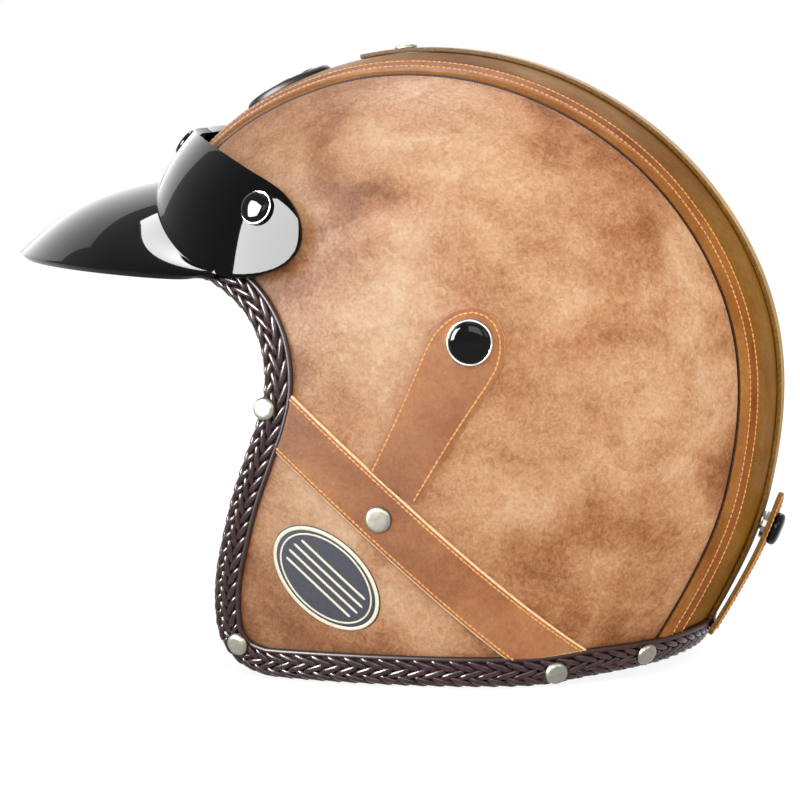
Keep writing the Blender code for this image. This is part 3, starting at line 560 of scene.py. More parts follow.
def bump(tree, shader, height, depth, strength):
    """Makes a height, 0 to 1, stand depth metres proud of the surface."""
    made = add_node(tree, "ShaderNodeBump", {"Distance": depth, "Strength": strength})
    tree.links.new(height, made.inputs["Height"])
    tree.links.new(made.outputs[0], shader.inputs["Normal"])


def paint(tree, shader, tone, low, high, depth, strength, height=None):
    """Colours a surface between two places of a tone, with the tone or a height as relief."""
    colour = ramp(tree, tone, [(low[0], shade(*low[1])), (high[0], shade(*high[1]))])
    tree.links.new(colour, shader.inputs["Base Color"])
    bump(tree, shader, height or tone, depth, strength)


def leather(name, tones, shift, roughness=0.5, specular=0.1, dark_borders=False):
    """Rubbed leather whose tones run from its darkest to its palest patches.

    Asked to, it also darkens towards the borders of its piece, its seam and its trim, as its own attribute
    says."""
    finish, tree, shader, place = start_finish(name, roughness, Specular_IOR_Level=specular)
    blotches = spots(tree, place, 50.0, 4.0, 0.55, 0.6, BLOTCH_STRETCH, BLOTCH_TURN, shift)
    parts = (
        (spots(tree, place, 15.0, 2.0, 0.5, 0.7, shift=shift), 0.38),
        (blotches, 0.18),
        (spots(tree, place, 300.0, 5.0, 0.7, 1.2), 0.2),
        (spots(tree, place, 900.0, 2.0, 0.6), 0.1),
    )
    tone = None
    for part, share in parts:
        weighed = math_node(tree, "MULTIPLY", part, share)
        tone = weighed if tone is None else math_node(tree, "ADD", tone, weighed)
    # The tone is made darker towards the seam and the trim, as far as the border attribute says.
    if dark_borders:
        border = add_node(tree, "ShaderNodeAttribute", attribute_name="border").outputs["Fac"]
        tone = math_node(tree, "SUBTRACT", tone, math_node(tree, "MULTIPLY", border, BORDER_DARKENING))
    step = LEATHER_TONE_SPAN / (len(tones) - 1)
    stops = [(LEATHER_TONE_START + step * index, shade(*one)) for index, one in enumerate(tones)]
    redness = spots(tree, place, 24.0, 4.0, 0.6, 0.8, shift=REDDEN_PLACE)
    redness = ranged(tree, redness, From_Min=0.48, From_Max=0.66, To_Max=0.32)
    colour = tinted(tree, redness, ramp(tree, tone, stops), REDDENED)
    tree.links.new(colour, shader.inputs["Base Color"])
    pebbles = math_node(tree, "MULTIPLY", cells(tree, place, 800.0), 0.5)
    height = math_node(tree, "ADD", pebbles, spots(tree, place, 240.0, 4.0, 0.6))
    bump(tree, shader, height, PEBBLE_DEPTH, 0.5)
    limits = {"From_Min": 0.34, "From_Max": 0.52, "To_Min": roughness + 0.1, "To_Max": roughness - 0.08}
    tree.links.new(ranged(tree, tone, **limits), shader.inputs["Roughness"])
    return finish


tan_leather = leather(
    "tan_leather_finish",
    ((118, 72, 40), (152, 102, 66), (180, 134, 96), (198, 160, 126), (208, 178, 148), (218, 194, 166)),
    shift=(0.37, 0.11, 0.53),
    dark_borders=True,
)
strap_leather = leather(
    "strap_leather_finish",
    ((120, 72, 44), (146, 94, 60), (170, 118, 80), (188, 140, 100)),
    shift=(0.3, 0.1, 0.2),
)
olive_leather = leather(
    "olive_leather_finish",
    ((96, 57, 12), (117, 75, 19), (135, 93, 31), (152, 113, 47)),
    shift=(0.2, 0.5, 0.1),
    roughness=0.42,
    specular=0.01,
)
brown_leather = leather(
    "brown_leather_finish",
    ((106, 52, 14), (128, 70, 22), (146, 88, 32), (166, 108, 46)),
    shift=(0.7, 0.2, 0.4),
    specular=0.05,
)
gold_leather = leather(
    "gold_leather_finish",
    ((124, 88, 34), (148, 110, 48), (168, 130, 62), (186, 150, 82)),
    shift=(0.9, 0.3, 0.2),
)
welt_leather = leather(
    "pale_leather_finish",
    ((114, 64, 22), (136, 83, 33), (154, 102, 46), (176, 126, 64)),
    shift=(0.1, 0.4, 0.9),
    roughness=0.42,
    specular=0.05,
)
print("leathers:", [m.name for m in bpy.data.materials if "leather" in m.name])

# %% [markdown]
# Raw edge and thread
# Where the side straps are cut, the pale undyed middle of the leather shows as a thin line, while
# the crown strap's and the retainer's edges are painted dark, as painted shade along their sides. The
# thread that sews them is orange, and the seams' thread nearly black. All are small, so a little
# noise is enough for them.

# %% Raw edge and thread
def fibre(name, dark, light, roughness, scale=700.0):
    """A matt finish whose colour wanders between two tones, for thread, twill and raw leather."""
    finish, tree, shader, place = start_finish(name, roughness, Specular_IOR_Level=0.25)
    tone = spots(tree, place, scale, 4.0, 0.65)
    paint(tree, shader, tone, (0.35, dark), (0.65, light), 0.0001, 0.6)
    return finish


raw_edge = fibre("raw_edge_finish", (212, 172, 126), (242, 214, 172), 0.8)
# Painted shade: the crown strap's and the retainer's cut edges are painted this dark to stand in for the
# shade along their sides.
painted_shade_edge = fibre("dark_edge_finish", (92, 60, 16), (132, 92, 32), 0.7)
orange_thread = fibre("orange_thread_finish", (206, 130, 56), (236, 172, 96), 0.55)
seam_thread = fibre("seam_thread_finish", (34, 20, 14), (66, 38, 24), 0.6)
print("two cut edges and two threads")

# %% [markdown]
# Side panels
# Each side is one piece of leather, sewn to the centre band along a seam and tucked under the trim
# everywhere else. Its outline is easiest in the side view, and every part of it can be seen from
# one point above the ear. So the sheet is a grid bent round that point: its columns are rays, and
# each ray ends at the seam or under the trim, whichever comes first.

# %% Side panels
LEATHER = 0.0016
GAP = 0.0003
SEAM_HALF = 0.052
TUCK = 0.0095
PANEL_CENTRE = (0.0, 0.19)
PANEL_COLUMNS = 260
PANEL_ROWS = 64
LAYER_POINTS = 240
SEAM_DIP = 0.0011
SEAM_DIP_WIDTH = 0.0013
SEAM_PILLOW = 0.0005
SEAM_PILLOW_WIDTH = 0.005
BORDER_FADE = 6.5
TRIM_BORDER_SHARE = 0.9
BORDER_BLEND = 14
PANEL_CROWDING = 1.6
HALVINGS = 24


def layer_reach(half):
    """Radius of the side view at a distance from the middle, as a share of its full radius."""
    return (1 - (abs(half) / HALF_WIDTH) ** ROUNDNESS) ** (1 / ROUNDNESS)


def layer_line(half=0.0, depth=0.0):
    """The line in the side view where a layer at a depth is half away from the middle."""
    line = []
    for step in range(LAYER_POINTS + 1):
        angle = math.tau * step / LAYER_POINTS
        radius = (rim_radius(angle) - depth) * layer_reach(half)
        line.append((radius * math.cos(angle), HEAD_HEIGHT + radius * math.sin(angle)))
    return line


def rays_from(centre, lines, count):
    """Rays all round a centre: angle, distance to the nearest line, and which line that is.

    A ray is moved to each corner where one line gives way to another."""

    def nearest(angle):
        way = (math.cos(angle), math.sin(angle))
        reaches = [first_crossing(centre, way, line) for line in lines]
        return min(reaches), reaches.index(min(reaches))

    angles = [math.tau * step / count for step in range(count)]
    kinds = [nearest(angle)[1] for angle in angles]
    rays = []
    for index, angle in enumerate(angles):
        if index and kinds[index] != kinds[index - 1]:
            low, high = angles[index - 1], angle
            for _ in range(HALVINGS):
                middle = (low + high) / 2
                low, high = (middle, high) if nearest(middle)[1] == kinds[index - 1] else (low, middle)
            angle = high
        rays.append((angle, *nearest(angle)))
    return rays + rays[:1]


def seam_lift(distance):
    """The leather dips into its seam and stands a little proud beside it."""
    dip = SEAM_DIP * math.exp(-((distance / SEAM_DIP_WIDTH) ** 2))
    pillow = SEAM_PILLOW * math.exp(-(((distance - SEAM_PILLOW_WIDTH) / SEAM_PILLOW_WIDTH) ** 2))
    return pillow - dip


def add_panel(side, name):
    def place(along, out):
        angle, reach, line = rays[round(along * PANEL_COLUMNS)]
        share = 1 - (1 - out) ** PANEL_CROWDING
        way = (math.cos(angle) * reach, math.sin(angle) * reach)
        back, height = PANEL_CENTRE[0] + way[0] * share, PANEL_CENTRE[1] + way[1] * share
        seat = side_point(back, height, side)
        border = side_point(PANEL_CENTRE[0] + way[0], PANEL_CENTRE[1] + way[1], side)
        lift = seam_lift((seat - border).length) if line == 0 else 0.0
        return seat + skin_normal(seat) * lift

    bm = laid_grid(PANEL_COLUMNS, PANEL_ROWS, place)
    face_out(bm)
    # Each point keeps how near it lies to the seam or, a little less, to the trim; the leather is darker
    # there.
    border = bm.verts.layers.float.new("border")
    shares = [1.0 if line == 0 else TRIM_BORDER_SHARE for _, _, line in rays[:-1]]
    for vert in bm.verts:
        back, height = vert.co.y - HEAD_BACK - PANEL_CENTRE[0], vert.co.z - PANEL_CENTRE[1]
        index = round(math.atan2(height, back) / math.tau * PANEL_COLUMNS) % PANEL_COLUMNS
        inside = 1 - math.hypot(back, height) / rays[index][1]
        near = [shares[(index + k) % PANEL_COLUMNS] for k in range(-BORDER_BLEND, BORDER_BLEND + 1)]
        vert[border] = math.exp(-max(inside, 0.0) * BORDER_FADE) * sum(near) / len(near)
    panel = add_piece("panel_skin_" + name, bm, [tan_leather], "tan_leather", ["leather_panel_" + name])
    thicken(panel, LEATHER)


rays = rays_from(PANEL_CENTRE, (layer_line(SEAM_HALF), edge_line(TUCK)), PANEL_COLUMNS)
for side, name in SIDES:
    add_panel(side, name)
print("panels of", PANEL_COLUMNS * PANEL_ROWS, "faces each")

# %% [markdown]
# Centre band
# A band of greener leather runs over the crown from brow to nape. It keeps the same width all the
# way, so its grid runs along the angle and across the middle, and each of its lines stops under the
# trim at both ends.

# %% Centre band
BAND_COLUMNS = 200
WELT_WIDTH = 0.0065
WELT_PROUD = 0.0012
TAPE_WIDTH = 0.0075
TAPE_PROUD = 0.0007
TAPE_STITCHES = (0.0068, 0.0132)
CROWN = math.pi / 2
FRONT_SEARCH = math.radians(100)
BACK_SEARCH = math.radians(-175)
BAND_ROWS = 48
BAND_SEAM_SHARE = 0.5


def across_at(half):
    """Place across of the line that stays a distance from the middle."""
    return math.asin((abs(half) / HALF_WIDTH) ** (ROUNDNESS / 2)) * 2 / math.pi * math.copysign(1, half)


def end_angle(half, forward):
    """Angle at which a line half away from the middle meets the edge, going forward or back."""
    line = edge_line(TUCK)
    low, high = CROWN, CROWN + (FRONT_SEARCH if forward else BACK_SEARCH)
    for _ in range(HALVINGS):
        middle = (low + high) / 2
        radius = rim_radius(middle) * layer_reach(half)
        back, height = radius * math.cos(middle), HEAD_HEIGHT + radius * math.sin(middle)
        to_edge = first_crossing((back, height), (0.0, -1.0), line)
        low, high = (middle, high) if to_edge < math.inf else (low, middle)
    return low


def strip_grid(low, high, rows, lift, front=None):
    """A strip between two distances from the middle, from brow to nape, with its cross-section."""
    halves = [low + (high - low) * row / rows for row in range(rows + 1)]
    ends = [(front or end_angle(half, True), end_angle(half, False)) for half in halves]

    def place(along, over):
        row = round(over * rows)
        start, stop = ends[row]
        angle = start + (stop - start) * along
        seat = skin_point(angle, across_at(halves[row]) if halves[row] else 0.0)
        return seat + skin_normal(seat) * lift(halves[row])

    bm = laid_grid(BAND_COLUMNS, rows, place)
    face_out(bm)
    return bm


def band_lift(half):
    return seam_lift(SEAM_HALF - abs(half)) * BAND_SEAM_SHARE


band = add_piece(
    "band_skin",
    strip_grid(-SEAM_HALF, SEAM_HALF, BAND_ROWS, band_lift),
    [olive_leather],
    "olive_leather",
    ["leather_band"],
)
thicken(band, LEATHER)
print("band ends at", [round(math.degrees(end_angle(0.0, way))) for way in (True, False)], "degrees")

# %% [markdown]
# Welt and tape
# Along each seam the real cover has a smooth golden welt, and inside it a flat brown tape sewn down
# with two rows of orange thread. Both are narrow strips of the same kind as the band, with a
# rounded cross-section that comes down to the band at both sides.

# %% Welt and tape
WELT_ROWS = 12
TAPE_ROWS = 16
TAPE_EDGE = 0.0006


def rounded_lift(low, high, proud, edge):
    """Height of a strip's face: proud in the middle, rounded down to its edges."""

    def lift(half):
        away = min(abs(abs(half) - low), abs(high - abs(half)))
        part = min(away / edge, 1.0)
        return GAP / 3 + proud * math.sqrt(1 - (1 - part) ** 2)

    return lift


for side, name in SIDES:
    low, high = SEAM_HALF - WELT_WIDTH, SEAM_HALF - GAP
    lift = rounded_lift(low, high, WELT_PROUD, WELT_WIDTH / 2)
    bm = strip_grid(side * low, side * high, WELT_ROWS, lift)
    add_piece("welt_skin_" + name, bm, [welt_leather], "pale_leather", ["seam_welt_" + name])
    low, high = low - TAPE_WIDTH, low
    lift = rounded_lift(low, high, TAPE_PROUD, TAPE_EDGE)
    bm = strip_grid(side * low, side * high, TAPE_ROWS, lift)
    add_piece("tape_skin_" + name, bm, [brown_leather], "tan_leather")
print("welts and tapes on both sides")

# %% [markdown]
# Crown strap
# A narrow strap lies on the middle of the band, from a rivet above the brow to the nape. It is a
# thicker piece of leather with a cut edge, so it is a sheet lifted off the band and given a wall.

# %% Crown strap
CROWN_STRAP_HALF = 0.0055
CROWN_STRAP_PROUD = 0.002
CROWN_STRAP_FRONT = math.radians(114.5)
CROWN_STRAP_ROWS = 8
SOFT_EDGE = 0.0004


def crown_strap_lift(half):
    return CROWN_STRAP_PROUD


bm = strip_grid(-CROWN_STRAP_HALF, CROWN_STRAP_HALF, CROWN_STRAP_ROWS, crown_strap_lift, CROWN_STRAP_FRONT)
# Its rim is painted dark, as painted shade along the strap's sides.
strap = add_piece("crown_strap_skin", bm, [gold_leather, painted_shade_edge], "olive_leather", ["crown_strap"])
thicken(strap, CROWN_STRAP_PROUD - GAP / 2, SOFT_EDGE, rim_finish=1)
print("crown strap", round(2000 * CROWN_STRAP_HALF), "mm wide")

# %% [markdown]
# Side strap and snap tab
# A diagonal strap crosses each side from the front edge to the bottom, and a tab comes up from
# under it. Both are drawn flat in the side view and laid on the skin. Their cut edges show the pale
# raw middle of the leather, which the wall's rim takes as its own finish.

# %% Side strap and snap tab
STRAP_WIDTH = 0.022
STRAP_PROUD = 0.0021
STRAP_FRONT = side_place((-0.535, 0.746))
STRAP_BACK = side_place((0.392, 0.109))
STRAP_TUCK = 0.0124
STRAP_COLUMNS = 90
STRAP_ROWS = 10
STRAP_INNER_PLACE = 0.06
CUT_EDGE = 0.0007
TAB_FOOT = side_place((-0.12, 0.581))
TAB_SNAP = side_place((0.166, 0.986))
TAB_LENGTH = 0.079
TAB_WIDTH = 0.031
TAB_PROUD = STRAP_PROUD * 0.82
TAB_START_SHARE = -0.02
TAB_COLUMNS = 70
TAB_ROWS = 16
TAB_CROWDING = 1.7
TAB_OUTLINE_SHARES = (
    (0.74, -0.1),
    (0.85, 0.35),
    (1.0, 0.7),
    (0.95, 0.82),
    (0.72, 0.92),
    (0.34, 0.985),
    (0.0, 1.0),
)


def unit(start, end):
    run, rise = end[0] - start[0], end[1] - start[1]
    length = math.hypot(run, rise)
    return run / length, rise / length


STRAP_WAY = unit(STRAP_FRONT, STRAP_BACK)
STRAP_SQUARE = (-STRAP_WAY[1], STRAP_WAY[0])
TAB_WAY = unit(TAB_FOOT, TAB_SNAP)
TAB_SQUARE = (TAB_WAY[1], -TAB_WAY[0])


def moved(place, way, distance, square=(0.0, 0.0), over=0.0):
    return tuple(place[k] + way[k] * distance + square[k] * over for k in (0, 1))


def strap_ends(over):
    """The strap's two ends under the trim, on a line a distance over from its middle."""
    edge = edge_line(STRAP_TUCK)
    middle = moved(STRAP_FRONT, STRAP_WAY, STRAP_INNER_PLACE, STRAP_SQUARE, over)
    forward = first_crossing(middle, tuple(-part for part in STRAP_WAY), edge)
    back = first_crossing(middle, STRAP_WAY, edge)
    return moved(middle, STRAP_WAY, -forward), moved(middle, STRAP_WAY, back)


def sewn_strip(name, columns, rows, place, proud, solid):
    """A strip of strap leather with a raw cut edge, that stands a distance proud of the panel."""
    bm = laid_grid(columns, rows, place)
    face_out(bm)
    strip = add_piece(name, bm, [strap_leather, raw_edge], "tan_leather", [solid])
    thicken(strip, proud - GAP / 2, CUT_EDGE, rim_finish=1)


def add_side_strap(side, name):
    ends = [strap_ends((row / STRAP_ROWS - 0.5) * STRAP_WIDTH) for row in range(STRAP_ROWS + 1)]

    def place(along, over):
        start, stop = ends[round(over * STRAP_ROWS)]
        return side_point(*(start[k] + (stop[k] - start[k]) * along for k in (0, 1)), side, STRAP_PROUD)

    sewn_strip("strap_skin_" + name, STRAP_COLUMNS, STRAP_ROWS, place, STRAP_PROUD, "side_strap_" + name)


TAB_LINE = smooth_line([(long, wide) for wide, long in TAB_OUTLINE_SHARES], 8)


def tab_half(share):
    """Half the tab's width at a share of its length."""
    for (x0, w0), (x1, w1) in zip(TAB_LINE, TAB_LINE[1:]):
        if x0 <= share <= x1:
            return TAB_WIDTH / 2 * (w0 + (w1 - w0) * (share - x0) / (x1 - x0))
    return 0.0


def tab_flat(share, over):
    """Place of the tab in the side view, at shares of its length and of its half width."""
    return moved(TAB_FOOT, TAB_WAY, TAB_LENGTH * share, TAB_SQUARE, tab_half(share) * over)


def add_snap_tab(side, name):
    def place(along, over):
        share = TAB_START_SHARE + (1 - TAB_START_SHARE) * (1 - (1 - along) ** TAB_CROWDING)
        return side_point(*tab_flat(share, over * 2 - 1), side, TAB_PROUD)

    sewn_strip("tab_skin_" + name, TAB_COLUMNS, TAB_ROWS, place, TAB_PROUD, "snap_tab_" + name)


for side, name in SIDES:
    add_side_strap(side, name)
    add_snap_tab(side, name)
print("side strap", [tuple(round(v, 3) for v in end) for end in strap_ends(0.0)])

# %% [markdown]
# Stitches
# A stitch is a short rounded piece of thread that sinks into the leather at both ends. One small
# ball, stretched and turned, makes each of them, and all the stitches of one line are one mesh.

# %% Stitches
STITCH = (0.0022, 0.0022, 0.00095)
SEAM_STITCH = (0.00105, 0.00115, 0.0015)
STITCH_SIDES = 6
STITCH_RINGS = 4
STITCH_INSET = 0.0018
SEAM_STITCH_SINK = 0.0003
SEAM_STEPS = 260
STRAP_STEPS = 60
TAB_STEPS = 80


def spaced(points, pitch):
    """Places a pitch apart along a line of points, each with the direction of the line there."""
    lengths = measured(points)
    count = max(int(lengths[-1] / pitch), 1)
    return [place_at(points, lengths, (step + 0.5) * lengths[-1] / count) for step in range(count)]


def many_balls(count, around, rings):
    """One mesh with a ball in it count times over, and the vertices of each."""
    ball = bmesh.new()
    bmesh.ops.create_uvsphere(ball, u_segments=around, v_segments=rings, radius=1.0)
    size = len(ball.verts)
    mesh = bpy.data.meshes.new("ball")
    ball.to_mesh(mesh)
    ball.free()
    whole = bmesh.new()
    for _ in range(count):
        whole.from_mesh(mesh)
    bpy.data.meshes.remove(mesh)
    verts = list(whole.verts)
    return whole, [verts[index * size : (index + 1) * size] for index in range(count)]


def add_stitches(name, lines, finish, slot, sizes, body="helmet", out=skin_normal):
    """A thread of stitches along each line of points. Their sizes are pitch, length and thickness."""
    pitch, length, thickness = sizes
    stitches = [stitch for points in lines for stitch in spaced(points, pitch)]
    bm, balls = many_balls(len(stitches), STITCH_SIDES, STITCH_RINGS)
    for (centre, way), ball in zip(stitches, balls):
        up = out(centre)
        over = up.cross(way).normalized()
        for vert in ball:
            wide, tall, along = vert.co * thickness / 2
            vert.co = centre + way * along * length / thickness + over * wide + up * tall
    return add_piece(name, bm, [finish], slot, body=body)


def line_beside(half, lift):
    """Points along the seam, a distance from the middle."""
    start, stop = end_angle(half, True), end_angle(half, False)
    angles = [start + (stop - start) * step / SEAM_STEPS for step in range(SEAM_STEPS + 1)]
    return [on_skin(skin_point(angle, across_at(half)), lift) for angle in angles]


def strap_stitch_lines(side):
    """The two rows of stitches along the strap, and the row round the tab."""
    lines = []
    for over in (-1, 1):
        start, stop = strap_ends(over * (STRAP_WIDTH / 2 - STITCH_INSET))
        parts = [step / STRAP_STEPS for step in range(STRAP_STEPS + 1)]
        flats = [tuple(start[k] + (stop[k] - start[k]) * part for k in (0, 1)) for part in parts]
        lines.append([side_point(*flat, side, STRAP_PROUD) for flat in flats])
    shares = [TAB_START_SHARE + (1 - TAB_START_SHARE) * step / TAB_STEPS for step in range(TAB_STEPS + 1)]
    outline = [tab_flat(share, 1) for share in shares] + [tab_flat(share, -1) for share in shares[-2::-1]]
    lines.append([side_point(*flat, side, TAB_PROUD) for flat in offset_line(outline, STITCH_INSET)])
    return lines


for side, name in SIDES:
    add_stitches("strap_stitches_" + name, strap_stitch_lines(side), orange_thread, "pale_leather", STITCH)
    tape_rows = [line_beside(side * (SEAM_HALF - away), TAPE_PROUD) for away in TAPE_STITCHES]
    add_stitches("tape_stitches_" + name, tape_rows, orange_thread, "pale_leather", STITCH)
    seam_row = line_beside(side * SEAM_HALF, -SEAM_STITCH_SINK)
    add_stitches("seam_stitches_" + name, [seam_row], seam_thread, "dark_braid", SEAM_STITCH)
print("stitch rows on straps, tabs, tapes and seams")

# %% [markdown]
# The line of the trim
# The trim follows the edge all the way round: brow, left cheek, nape, right cheek. A plait needs
# evenly spaced places on a closed loop, each with three directions: along the edge, out of the
# leather, and in over the leather.

# %% The line of the trim
LOOP_STEP = 0.0024
FINE_STEP = 0.0001
FINE_EDGE_STEPS = 12


def resampled(points, step, closed=False):
    """The same line with its points a step apart."""
    points = points + points[:1] if closed else points
    lengths = measured(points)
    count = round(lengths[-1] / step)
    ends = [min(index * lengths[-1] / count, lengths[-1]) for index in range(count + 1 - closed)]
    return [place_at(points, lengths, at)[0] for at in ends]


def edge_loop(inset, depth, place):
    """The edge, moved inwards, in a layer at a depth: down the left side, then the right one."""
    line = [Vector((*pair, 0.0)) for pair in edge_line(inset, FINE_EDGE_STEPS)]
    side = []
    for back, height, _ in resampled(line, FINE_STEP):
        angle = math.atan2(height - HEAD_HEIGHT, back)
        reach = math.hypot(back, height - HEAD_HEIGHT)
        if reach < rim_radius(angle) - depth:
            side.append(place(back, height, angle, reach))
    return side + [Vector((-point.x, point.y, point.z)) for point in reversed(side)]


def face_place(back, height, angle, reach):
    return side_point(back, height)


LOOP = resampled(edge_loop(0.0, 0.0, face_place), LOOP_STEP, closed=True)
LOOP_FRAMES = []
for index, point in enumerate(LOOP):
    along = (LOOP[(index + 1) % len(LOOP)] - LOOP[index - 1]).normalized()
    out = skin_normal(point)
    LOOP_FRAMES.append((point, along, out, along.cross(out).normalized()))
cheek = min(range(len(LOOP) // 2), key=lambda index: LOOP[index].z)
if LOOP_FRAMES[cheek][3].z < 0:
    LOOP_FRAMES = [(point, along, out, -inward) for point, along, out, inward in LOOP_FRAMES]
LOOP_LENGTH = len(LOOP) * LOOP_STEP


def loop_frame(turn):
    """Place, along, out and inward directions at a share of the way round the edge."""
    at = turn % 1.0 * len(LOOP_FRAMES)
    index = int(at) % len(LOOP_FRAMES)
    here, after = LOOP_FRAMES[index], LOOP_FRAMES[(index + 1) % len(LOOP_FRAMES)]
    part = at - int(at)
    return tuple(first.lerp(second, part) for first, second in zip(here, after))


print("edge loop", round(LOOP_LENGTH, 3), "m long")

# %% [markdown]
# Dark plaited leather
# The trim's strands are dyed dark brown leather with a reddish cast and a waxed gloss, so each
# strand carries a narrow bright streak where it turns over its neighbour.

# %% Dark plaited leather
def waxed(name, dark, light, roughness):
    """Dark leather with a gloss that breaks up along a fine grain."""
    finish, tree, shader, place = start_finish(name, roughness, Specular_IOR_Level=0.27)
    tone, grain = spots(tree, place, 260.0, 4.0, 0.6), spots(tree, place, 1040.0, 3.0, 0.6)
    paint(tree, shader, tone, (0.3, dark), (0.7, light), 0.00012, 0.5, grain)
    return finish


braid_leather = waxed("braid_leather_finish", (34, 21, 20), (72, 47, 45), 0.24)
binding_leather = waxed("binding_leather_finish", (34, 18, 16), (60, 34, 30), 0.42)
# The trim base is painted darker than the plait: painted shade where it shows between the leaves.
trim_shadow = waxed("trim_base_shadow_finish", (18, 11, 10), (32, 20, 18), 0.6)
print("dark leathers ready")

# %% [markdown]
# Plait
# What shows of the plait is a row of short slanted leaves in each of its columns, the slant turning
# round from one column to the next, each leaf diving under its neighbours at both ends. Whole woven
# strands would hide most of their length, so each leaf is one small ball, stretched, slanted and
# bent down at its ends. The plait lies on the face of the trim, turns round the edge and ends
# inside, so its places are measured along that run.

# %% Plait
PLAIT_COLUMNS = 5
COLUMN_WIDTH = 0.0033
PLAIT_REPEAT = 0.0071
LEAF_LENGTH = 0.0116
LEAF_WIDTH = 0.0029
LEAF_THICKNESS = 0.0023
LEAF_SLANT = math.tan(math.radians(19))
LEAF_DIP = 0.0016
LEAF_SIDES = 8
LEAF_RINGS = 10
FACE_START = 0.0117
PLAIT_LIFT = 0.0021
EDGE_CLEAR = 0.0016
CORNER_RADIUS = 0.0028


def plait_seat(turn, run):
    """Point on the plait's middle surface and the direction out of it there."""
    place, _, out, inward = loop_frame(turn)
    face = FACE_START - EDGE_CLEAR - CORNER_RADIUS
    corner = CORNER_RADIUS * math.pi / 2
    if run < face:
        seat = on_skin(place + inward * (FACE_START - run))
        up = skin_normal(seat)
        return seat + up * PLAIT_LIFT, up
    lean = min((run - face) / CORNER_RADIUS, math.pi / 2)
    inset = EDGE_CLEAR + CORNER_RADIUS * (1 - math.sin(lean))
    lift = PLAIT_LIFT - CORNER_RADIUS * (1 - math.cos(lean)) - max(run - face - corner, 0.0)
    up = (out * math.cos(lean) - inward * math.sin(lean)).normalized()
    return place + inward * inset + out * lift, up


def lay_leaf(ball, start, column):
    """Turns a ball into one leaf, its middle at a length round the edge, in one of the columns."""
    lean = -1 if column % 2 else 1
    for vert in ball:
        thick, wide, along = vert.co
        full = math.sqrt(1 + along * along)
        ahead = along * LEAF_LENGTH / 2
        over = lean * ahead * LEAF_SLANT + wide * full * LEAF_WIDTH / 2
        seat, up = plait_seat((start + ahead) / LOOP_LENGTH, (column + 0.5) * COLUMN_WIDTH + over)
        vert.co = seat + up * (thick * full * LEAF_THICKNESS / 2 - LEAF_DIP * along**4)


def add_plait():
    count = round(LOOP_LENGTH / PLAIT_REPEAT)
    bm, balls = many_balls(count * PLAIT_COLUMNS, LEAF_SIDES, LEAF_RINGS)
    for index, ball in enumerate(balls):
        column, leaf = divmod(index, count)
        lay_leaf(ball, (leaf + column % 2 / 2) * LOOP_LENGTH / count, column)
    return add_piece("plaited_trim", bm, [braid_leather], "dark_braid", ["edge_trim"])


plait = add_plait()
print("plait of", len(plait.data.polygons), "faces")

# %% [markdown]
# Trim base and bindings
# Under the plait lies the folded leather it is sewn to, and along both of its sides a smooth round
# binding. Each is one closed cross-section carried round the loop.

# %% Trim base and bindings
SWEEP_STEPS = 520
RING_POINTS = 10
OUTER_RING = (0.0127, 0.0012, 0.0011, 0.0013)
INNER_RING = (0.0024, -0.0069, 0.0014, 0.0011)


def swept(name, section, finish):
    """A closed cross-section of (inset, lift) points carried all the way round the edge."""
    count = len(section)

    def place(along, round_it):
        inset, lift = section[round(round_it * count) % count]
        spot, _, _, inward = loop_frame(round(along * SWEEP_STEPS) / SWEEP_STEPS)
        seat = on_skin(spot + inward * inset)
        return seat + skin_normal(seat) * lift

    bm = laid_grid(SWEEP_STEPS, count, place)
    close_out(bm)
    return add_piece(name, bm, [finish], "dark_braid")


def ring_section(inset, lift, wide, tall):
    angles = [math.tau * step / RING_POINTS for step in range(RING_POINTS)]
    return [(inset + wide * math.cos(angle), lift + tall * math.sin(angle)) for angle in angles]


BASE_SECTION = (
    (0.0132, 0.0002),
    (0.0132, 0.0007),
    (0.0124, 0.0011),
    (0.0044, 0.0011),
    (0.0028, 0.0007),
    (0.0019, -0.0004),
    (0.0017, -0.002),
    (0.0017, -0.0066),
    (0.0024, -0.0074),
    (0.0036, -0.0074),
    (0.004, -0.0066),
    (0.004, 0.0002),
)
swept("trim_base", BASE_SECTION, trim_shadow)
swept("outer_binding", ring_section(*OUTER_RING), binding_leather)
swept("inner_binding", ring_section(*INNER_RING), binding_leather)
print("base and two bindings")

# %% [markdown]
# Metal and enamel
# The rivets and rims are nickel plate, softly worn, and the snap caps are black enamel. Wear and
# handling marks are slow changes of roughness and a very shallow bump, so a highlight breaks up a
# little at its edge.

# %% Metal and enamel
def plated(name, colour, roughness, wear=0.08):
    """Plated metal with faint handling marks."""
    finish, tree, shader, place = start_finish(name, roughness, Metallic=1.0)
    marks = spots(tree, place, 500.0, 4.0, 0.6)
    dull = [part * 0.92 for part in colour]
    paint(tree, shader, marks, (0.3, dull), (0.6, colour), 0.00002, 0.3, spots(tree, place, 1500.0, 2.0))
    spread = ranged(tree, marks, To_Min=roughness - wear, To_Max=roughness + wear)
    tree.links.new(spread, shader.inputs["Roughness"])
    return finish


def gloss(name, colour, roughness, specular):
    """Moulded or enamelled gloss with the slightest ripple."""
    finish, tree, shader, place = start_finish(name, roughness, Specular_IOR_Level=specular)
    pale = [part * 1.25 for part in colour]
    paint(tree, shader, spots(tree, place, 60.0, 2.0), (0.3, colour), (0.7, pale), 0.00003, 0.25)
    return finish


nickel = plated("nickel_finish", (142, 140, 128), 0.34)
bright_nickel = plated("bright_nickel_finish", (222, 220, 214), 0.18, 0.05)
dark_metal = plated("dark_metal_finish", (36, 34, 33), 0.4)
black_enamel = gloss("black_enamel_finish", (5, 5, 6), 0.05, 0.14)
print("metals and enamel ready")

